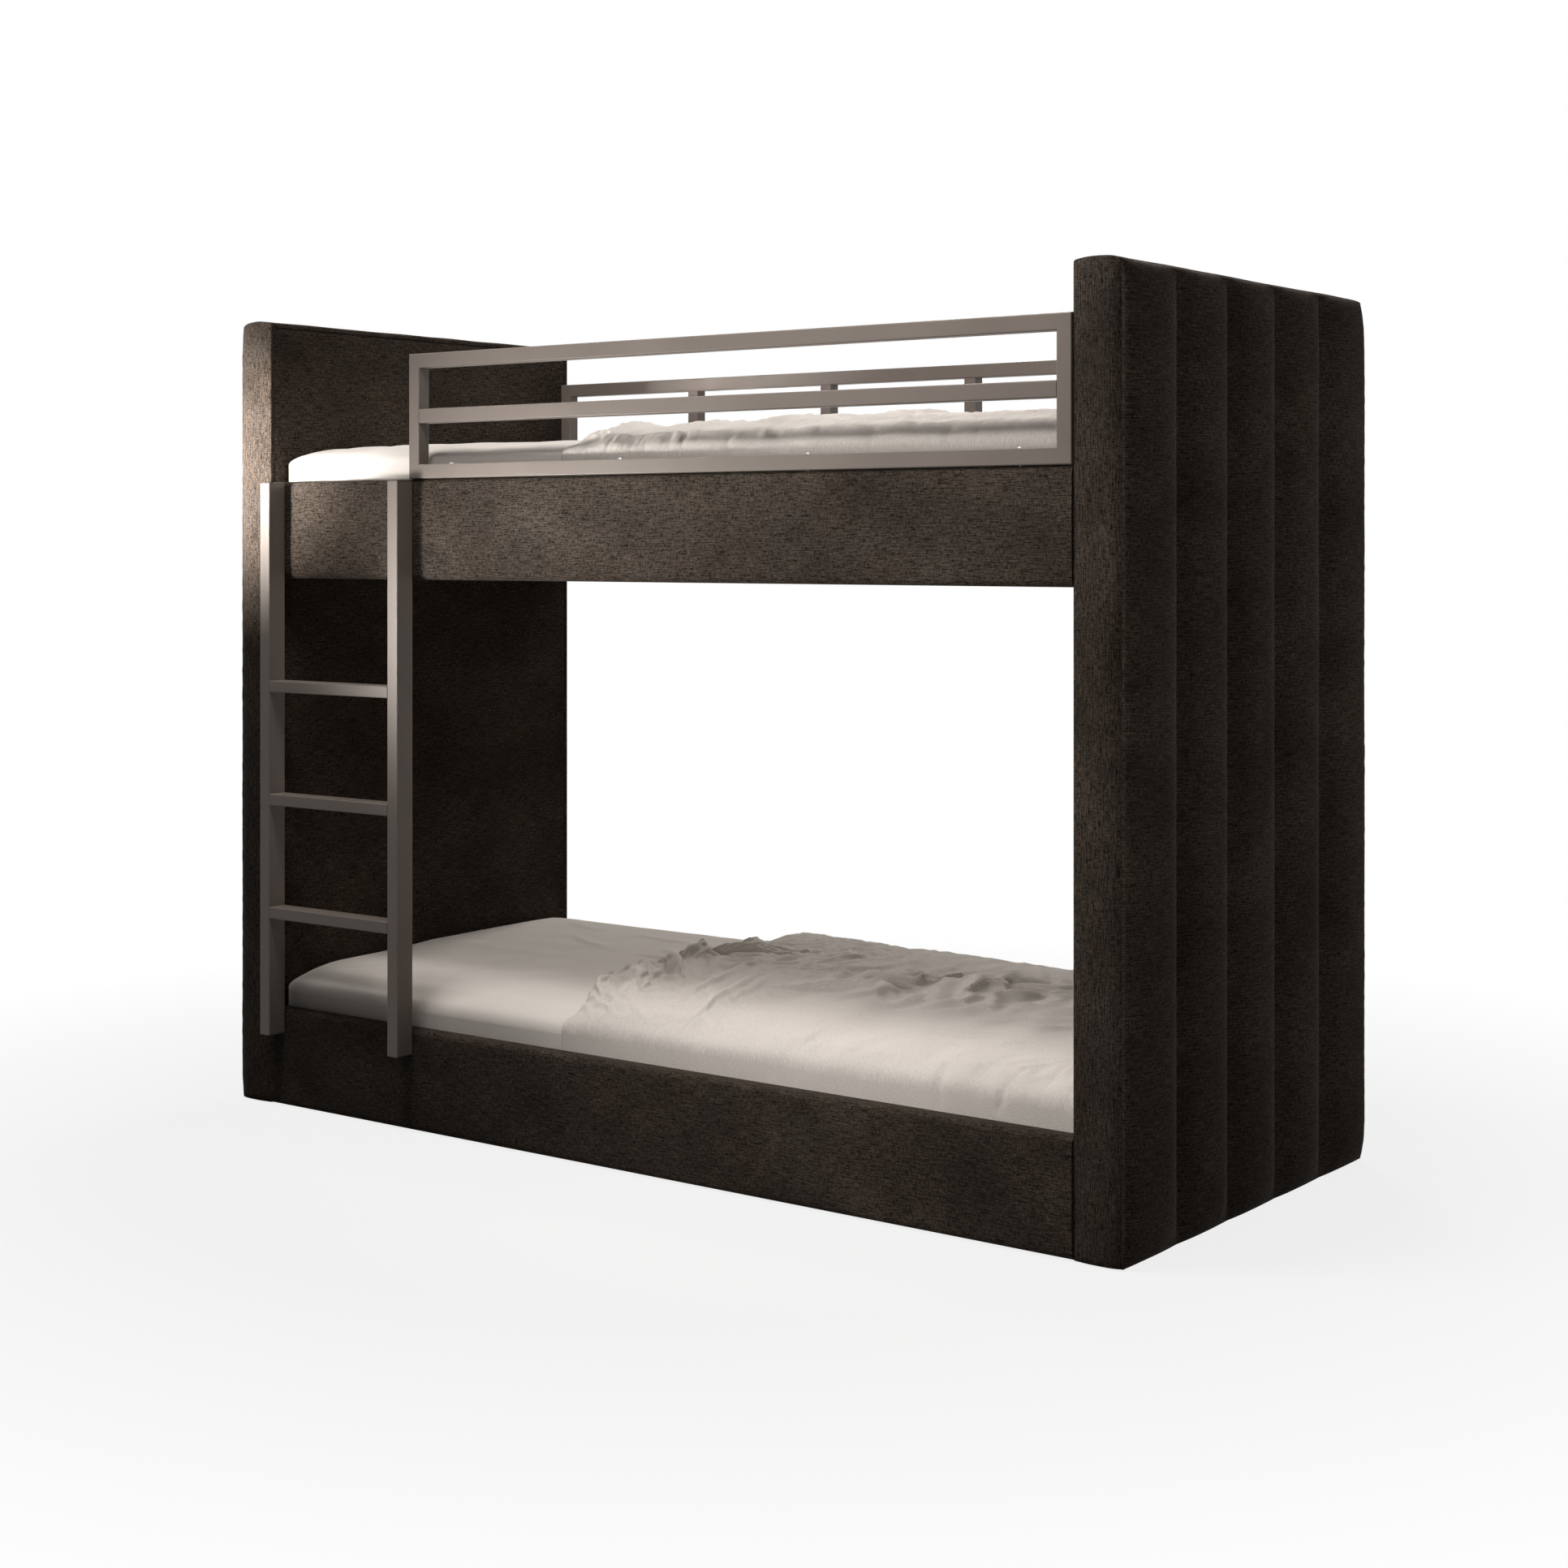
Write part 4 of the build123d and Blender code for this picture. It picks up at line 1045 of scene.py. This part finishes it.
UPPER_FOLDS = (
    (-0.160, -0.380, -0.290, -0.150, 0.010, 0.028, 0.5),
    (-0.080, -0.380, -0.220, -0.060, 0.010, 0.032, 0.5),
    (-0.280, 0.120, -0.060, 0.020, 0.012, 0.030, -0.5),
    (-0.290, 0.300, -0.080, 0.220, 0.012, 0.034, -0.4),
    (0.060, -0.390, 0.020, 0.060, 0.008, 0.040, 0.4),
    (0.260, -0.390, 0.340, 0.040, 0.007, 0.045, -0.4),
    (0.520, -0.390, 0.480, 0.120, 0.007, 0.050, 0.4),
    (0.760, -0.390, 0.820, 0.160, 0.006, 0.055, -0.3),
    (-0.200, 0.400, 0.300, 0.420, 0.008, 0.060, 0.2),
)
# Spots where more cloth is bunched than lies flat: x, y, reach, share of extra cloth
LOWER_BUNCHES = (
    (-0.27, 0.06, 0.14, 0.22), (-0.14, 0.12, 0.15, 0.20), (-0.20, -0.18, 0.15, 0.15),
    (0.30, 0.05, 0.14, 0.20), (0.45, 0.12, 0.15, 0.18), (0.05, 0.15, 0.2, 0.12),
    (0.0, -0.2, 0.2, 0.08), (0.8, 0.1, 0.25, 0.05),
)
UPPER_BUNCHES = ((-0.25, 0.05, 0.16, 0.09), (0.1, 0.1, 0.3, 0.05), (0.6, 0.0, 0.3, 0.04))
LOOSE_CLOTH = 0.018
SETTLING_ROOM = 0.004


def duvet_shape(share, across, low, high, crest, drops, folds, seed):
    """Points of a made-up duvet: share runs from its hem to its foot, across from tuck to tuck."""
    width = high.y - low.y
    front_drop, rear_drop = drops
    y = np.clip(low.y + across - front_drop, low.y, high.y)
    hem_x = table_curve(y, HEM)
    x = hem_x + share * (high.x - hem_x)
    from_hem = x - hem_x
    rim = ramp(np.minimum(y - low.y, high.y - y), RIM_REACH) ** 0.5
    loft = DUVET_SIDE + (table_curve(from_hem, DUVET_LOFT) - DUVET_SIDE) * rim
    rise = strokes(x, y, folds) * ramp(from_hem, 0.02)
    soft = DUVET_WAVE * hills(x, y * 0.45, 0.22, seed)
    soft = soft + DUVET_RIPPLE * hills(x, y, 0.07, seed + 1)
    rise = rise + ramp(from_hem, 0.08) * soft
    z = crest + shoulder(y, low.y, high.y) + loft + rise * (RIM_RISE + (1 - RIM_RISE) * rim)
    z = z - FOOT_FALL * np.exp(-(high.x - x) / FOOT_FALL_REACH)
    below = ramp(front_drop - across, front_drop)
    below = np.maximum(below, ramp(across - front_drop - width, rear_drop))
    return np.stack([x, y, z * (1 - below) + low.z * below], -1)


def duvet_grid(width, drops, row_counts, skirt_counts, step, edge_steps):
    """Places from hem to foot, and from tuck to tuck, closest together where the folds are."""
    front_drop, rear_drop = drops
    bunched, smooth = row_counts
    front, rear = skirt_counts
    rows = [np.linspace(0, BUNCHED, bunched)[:-1], np.linspace(BUNCHED, 1, smooth)]
    columns = [
        np.linspace(0, front_drop, front)[:-1],
        front_drop + spaced(width, step, edge_steps),
        front_drop + width + np.linspace(0, rear_drop, rear)[1:],
    ]
    return np.concatenate(rows), np.concatenate(columns)


def settled(start, held, extra, steps=20):
    """Lets a cloth with some extra length buckle and settle over its own bed, and returns it."""
    count_x, count_y = start.shape[:2]
    faces = grid_faces(count_x, count_y)
    bed = meshed("resting_bed", start - (0, 0, SETTLING_ROOM), faces)
    cloth = meshed("loose_cloth", start, faces)
    bed.modifiers.new("bed", "COLLISION")
    bed.collision.thickness_outer = 0.002
    tucked = cloth.vertex_groups.new(name="tucked")
    flat = cloth.vertex_groups.new(name="flat")
    most = float(extra.max())
    for n, (pin, more) in enumerate(zip(held.ravel().tolist(), extra.ravel().tolist())):
        if pin:
            tucked.add([n], 1.0, "REPLACE")
        flat.add([n], 1.0 - more / most, "REPLACE")
    drape = cloth.modifiers.new("drape", "CLOTH")
    facts = drape.settings
    facts.quality = 3
    facts.mass = 0.2
    facts.tension_stiffness = facts.compression_stiffness = 15
    facts.shear_stiffness = 5
    facts.bending_stiffness = 0.6
    facts.air_damping = 1
    facts.vertex_group_mass = "tucked"
    facts.vertex_group_shrink = "flat"
    facts.shrink_min, facts.shrink_max = -most, 0.0
    drape.collision_settings.distance_min = 0.003
    for step in range(1, steps + 1):
        scene.frame_set(step)
    shown = cloth.evaluated_get(bpy.context.evaluated_depsgraph_get())
    flow = np.empty(count_x * count_y * 3, np.float32)
    shown.data.vertices.foreach_get("co", flow)
    for helper in (bed, cloth):
        bpy.data.objects.remove(helper)
    scene.frame_set(1)
    return flow.reshape(count_x, count_y, 3).astype(float)


def regrid(field, rows, columns, new_rows, new_columns):
    """Reads a grid of vectors at other rows and columns, straight between its points."""
    for old, new in ((rows, new_rows), (columns, new_columns)):
        lines = [[np.interp(new, old, line) for line in field[..., k].T] for k in range(3)]
        field = np.stack(lines, -1)
    return field


# The share of a duvet's length, from its hem, in which its rows lie closer together
BUNCHED = 0.34
MOST_MOVE = 0.026
COVER = 0.0018
HEM_ALLOWANCE = 0.016
# Columns at either end of the hem that carry no stitches
UNSTITCHED = 6
hem_paths = {}
for level, folds, bunches, seed in (
    ("lower", LOWER_FOLDS, LOWER_BUNCHES, 500), ("upper", UPPER_FOLDS, UPPER_BUNCHES, 600)
):
    low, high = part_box(f"{level}_duvet")
    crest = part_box(f"{level}_fitted_sheet")[1].z
    width = high.y - low.y
    front_drop, rear_drop = drops = [
        crest + side_table[0][1] + DUVET_SIDE - low.z
        for side_table in (FRONT_SHOULDER, REAR_SHOULDER)
    ]

    # A first shape with the main folds, on a grid that a simulation can take
    coarse_edge = (0.0, 0.006, 0.015, 0.026)
    rows, columns = duvet_grid(width, drops, (48, 58), (10, 12), 0.0115, coarse_edge)
    shares, across = np.meshgrid(rows, columns, indexing="ij")
    start = duvet_shape(shares, across, low, high, crest, drops, folds, seed)
    extra = LOOSE_CLOTH + sum(
        more * np.exp(-(((start[..., 0] - x) ** 2 + (start[..., 1] - y) ** 2) / reach**2))
        for x, y, reach, more in bunches
    )
    rail_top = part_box(f"{level}_front_rail_cover")[1].z
    held = (start[..., 2] < rail_top + TUCK_LINE) | (shares <= 0) | (shares >= 1)
    moved = settled(start, held, extra) - start
    far = np.linalg.norm(moved, axis=-1, keepdims=True)
    moved = moved * np.minimum(1, MOST_MOVE / np.maximum(far, 1e-9))
    on_top = ramp(across - front_drop, 0.08)
    on_top = on_top * ramp(front_drop + width - across, 0.04)
    moved = moved * eased(on_top)[..., None]

    # The same shape on a finer grid, moved as the simulation says, with its fine wrinkles
    fine_edge = (0.0, 0.0015, 0.004, 0.008, 0.014, 0.022)
    fine_rows, fine_columns = duvet_grid(width, drops, (110, 130), (18, 18), 0.0058, fine_edge)
    shares, across = np.meshgrid(fine_rows, fine_columns, indexing="ij")
    cloth = duvet_shape(shares, across, low, high, crest, drops, folds, seed)
    cloth = cloth + regrid(moved, rows, columns, fine_rows, fine_columns)
    x, y, z = (cloth[..., k] for k in range(3))
    run_u, run_v = np.gradient(cloth, axis=0), np.gradient(cloth, axis=1)
    normal = np.cross(run_u, run_v)
    normal = normal / np.maximum(np.linalg.norm(normal, axis=-1, keepdims=True), 1e-9)
    from_hem = x - table_curve(y, HEM)
    on_drape = bell(across - front_drop - 0.02, 0.09)
    near_head = bell(from_hem, 0.4)
    at_head = BED_CREASE + HEAD_CREASE * near_head
    inward = DRAPE_CREASE * on_drape * creases(x, across * 0.13, 0.05, seed + 2, 0.2)
    fine = creases(x, across * 0.1, 0.022, seed + 3, 0.3)
    inward = inward + FINE_DRAPE_CREASE * on_drape * fine
    inward = inward + at_head * creases(x * 0.8, y, 0.12, seed + 4, 0.16)
    inward = inward + BED_CREASE * creases(x, y * 0.6, 0.19, seed + 5, 0.07)
    cloth = cloth - normal * (inward * ramp(from_hem, 0.012))[..., None]
    cloth[..., 1] = np.clip(cloth[..., 1], low.y + COVER, high.y - COVER)
    cloth[..., 0] = np.minimum(cloth[..., 0], high.x - COVER)
    cloth[..., 2] = np.maximum(cloth[..., 2], low.z + COVER)
    seam_row = int(np.argmin(np.abs((from_hem - HEM_ALLOWANCE)[:, cloth.shape[1] // 2])))
    stitched = seam_row, slice(UNSTITCHED, -UNSTITCHED)
    hem_paths[level] = (cloth[stitched], normal[stitched])
    count_x, count_y = cloth.shape[:2]
    faces = grid_faces(count_x, count_y)
    lengthwise = np.stack([cloth[..., 0], across], -1).reshape(-1, 2)
    made = piece(
        f"{level}_duvet_cloth", cloth.reshape(-1, 3), faces, lengthwise[np.array(faces).ravel()],
        duvet_cotton, f"{level}_duvet_body", "duvet_cotton", (f"{level}_duvet",),
        BEDDING_CREASE,
    )
    thickened(made, COVER)


# Repeated pieces: slats, screws and stitches, each grown by a node tree


def islands(name):
    """The corners of each separate solid in a node, by box: (low, high, corners)."""
    mesh = cad[name].data
    place = np.empty(len(mesh.vertices) * 3, np.float32)
    mesh.vertices.foreach_get("co", place)
    ends = np.empty(len(mesh.edges) * 2, np.int32)
    mesh.edges.foreach_get("vertices", ends)
    corners, merged = np.unique(np.round(place.reshape(-1, 3), 5), axis=0, return_inverse=True)
    a, b = merged.ravel()[ends.reshape(-1, 2)].T
    label, last = np.arange(len(corners)), None
    while last is None or (label != last).any():
        last = label.copy()
        low = np.minimum(label[a], label[b])
        np.minimum.at(label, a, low)
        np.minimum.at(label, b, low)
        label = label[label]
    solids = [corners[label == n].astype(float) for n in np.unique(label)]
    return [(solid.min(0), solid.max(0), solid) for solid in solids]


# Slats: a board with round edges, once for each slat
slat = Growth("slats", length=0.9, width=0.07, thickness=0.018, edge=0.003)
width, thickness = slat.given("width"), slat.given("thickness")
board = slat.node("GeometryNodeCurvePrimitiveQuadrilateral", Width=width, Height=thickness)
board = slat.node(
    "GeometryNodeFilletCurve", props={"mode": "POLY"}, Curve=board, Count=3,
    Radius=slat.given("edge"),
)
half = slat.times(slat.given("length"), 0.5)
start, stop = slat.vector(y=slat.times(half, -1.0)), slat.vector(y=half)
line = slat.node("GeometryNodeCurvePrimitiveLine", Start=start, End=stop)
board = slat.node("GeometryNodeCurveToMesh", Curve=line, Profile_Curve=board, Fill_Caps=True)
slat.finish(slat.placed(slat.given("Geometry"), board))
for level in ("lower", "upper"):
    boards = islands(f"{level}_slats")
    width, length, thickness = (float(v) for v in boards[0][1] - boards[0][0])
    made = slat.grown(
        f"{level}_slat_boards", [(low + high) / 2 for low, high, _ in boards], [], [], birch, {},
        length=length, width=width, thickness=thickness,
    )
    ridden(made, "bed_frame", (f"{level}_slats",))

# Screws and bolts: a plain shank under a low head with a six-sided socket
screw = Growth(
    "screws", shank_radius=0.004, shank_length=0.03, head_radius=0.008, head_height=0.0025,
    socket_radius=0.0035,
)
SIDES = 20
HEAD_TAPER, SOCKET_SHARE, SOCKET_LIFT = 0.84, 0.42, 0.8
HEAD_THICK, HEAD_THIN = 0.0025, 0.0018
ON_AXIS, ON_HEAD = 0.001, 0.9
head_height, head_radius = screw.given("head_height"), screw.given("head_radius")
head = screw.node(
    "GeometryNodeMeshCone", Vertices=SIDES, Radius_Top=screw.times(head_radius, HEAD_TAPER),
    Radius_Bottom=head_radius, Depth=head_height,
)
socket = screw.node(
    "GeometryNodeMeshCylinder", Vertices=6, Radius=screw.given("socket_radius"), Depth=head_height
)
socket = screw.moved(socket, screw.vector(z=screw.times(head_height, SOCKET_LIFT)))
head = screw.node("GeometryNodeMeshBoolean", _0=head, _1=socket)
shank = screw.node(
    "GeometryNodeMeshCylinder", Vertices=SIDES, Radius=screw.given("shank_radius"),
    Depth=screw.given("shank_length"),
)
shank = screw.moved(shank, screw.vector(z=screw.times(screw.given("shank_length"), -0.5)))
turn = screw.pointed(screw.trait("way", "FLOAT_VECTOR"))
bolt = screw.joined(head, shank)
screw.finish(screw.placed(screw.given("Geometry"), bolt, Rotation=turn))
for name, head_size in (
    ("panel_bolts", HEAD_THICK), ("bracket_screws", HEAD_THIN), ("ladder_bolts", HEAD_THICK),
    ("guard_bolts", HEAD_THICK),
):
    seats, ways = [], []
    for low, high, solid in islands(name):
        along = int(np.argmax(high - low))
        middle = (low + high) / 2
        radius = np.linalg.norm(np.delete(solid - middle, along, 1), axis=1)
        head_radius, shank_radius = float(radius.max()), float(radius[radius > ON_AXIS].min())
        head_at = solid[radius > head_radius * ON_HEAD, along].mean()
        sign = 1.0 if head_at > middle[along] else -1.0
        seat = middle.copy()
        seat[along] = (high[along] - head_size) if sign > 0 else (low[along] + head_size)
        seats.append(seat)
        ways.append(np.eye(3)[along] * sign)
    made = screw.grown(
        f"zinc_{name}", seats, [], [], zinc_plate, {"way": ways}, shank_radius=shank_radius,
        shank_length=float((high - low)[along]) - head_size,
        head_radius=head_radius, head_height=head_size, socket_radius=head_radius * SOCKET_SHARE,
    )
    ridden(made, "bed_frame", (name,))

# Stitches: short threads laid head to tail along a seam
stitch = Growth("stitches", pitch=0.0045, length=0.0034, thickness=0.0007)
seam = stitch.node("GeometryNodeMeshToCurve", Mesh=stitch.given("Geometry"))
seam = stitch.node(
    "GeometryNodeResampleCurve", props={"mode": "LENGTH"}, Curve=seam, Length=stitch.given("pitch")
)
turn = stitch.pointed(stitch.node("GeometryNodeInputTangent"))
length = stitch.given("length")
radius = stitch.times(length, 0.5)
bead = stitch.node("GeometryNodeMeshUVSphere", Segments=6, Rings=4, Radius=radius)
slim = stitch.math("DIVIDE", stitch.given("thickness"), length)
stitch.finish(stitch.placed(seam, bead, Rotation=turn, Scale=stitch.vector(slim, slim, 1.0)))
STITCH_LIFT = 0.0001
for level, (path, normal) in hem_paths.items():
    points = path + normal * STITCH_LIFT
    edges = [(n, n + 1) for n in range(len(points) - 1)]
    made = stitch.grown(f"{level}_duvet_hem_stitches", points, edges, [], thread, {})
    ridden(made, f"{level}_duvet_body")


# Studio floor

FLOOR_REACH = 60.0
FLOOR_SHOWN, FLOOR_BOUNCE = (0.42, 0.418, 0.415), (0.1, 0.098, 0.095)
FLOOR_LIFT = 0.83
CLEAR_OF_BED = (1.3, 2.6)
square = ((-1, -1), (1, -1), (1, 1), (-1, 1))
corners = [(x * FLOOR_REACH, y * FLOOR_REACH, 0) for x, y in square]
floor = meshed("studio_floor", corners, [(0, 1, 2, 3)])

# The floor looks white but throws little light back, and whitens away from the bed's shadow
paper = Finish("studio_floor", Roughness=0.9)
shown = paper.seen_directly()
paper.set(Base_Color=paper.blend(shown, FLOOR_BOUNCE, FLOOR_SHOWN))
bare = paper.node("ShaderNodeEmission", Color=(1, 1, 1, 1), Strength=1.0)
far = paper.node("ShaderNodeVectorMath", out=1, props={"operation": "LENGTH"}, _0=paper.where)
lift = paper.times(shown, paper.span(far, *CLEAR_OF_BED, FLOOR_LIFT))
both = paper.node("ShaderNodeMixShader", Fac=lift, _1=paper.shader.outputs[0], _2=bare)
paper.tree.links.new(both, paper.tree.nodes["Material Output"].inputs["Surface"])
floor.data.materials.append(paper.material)
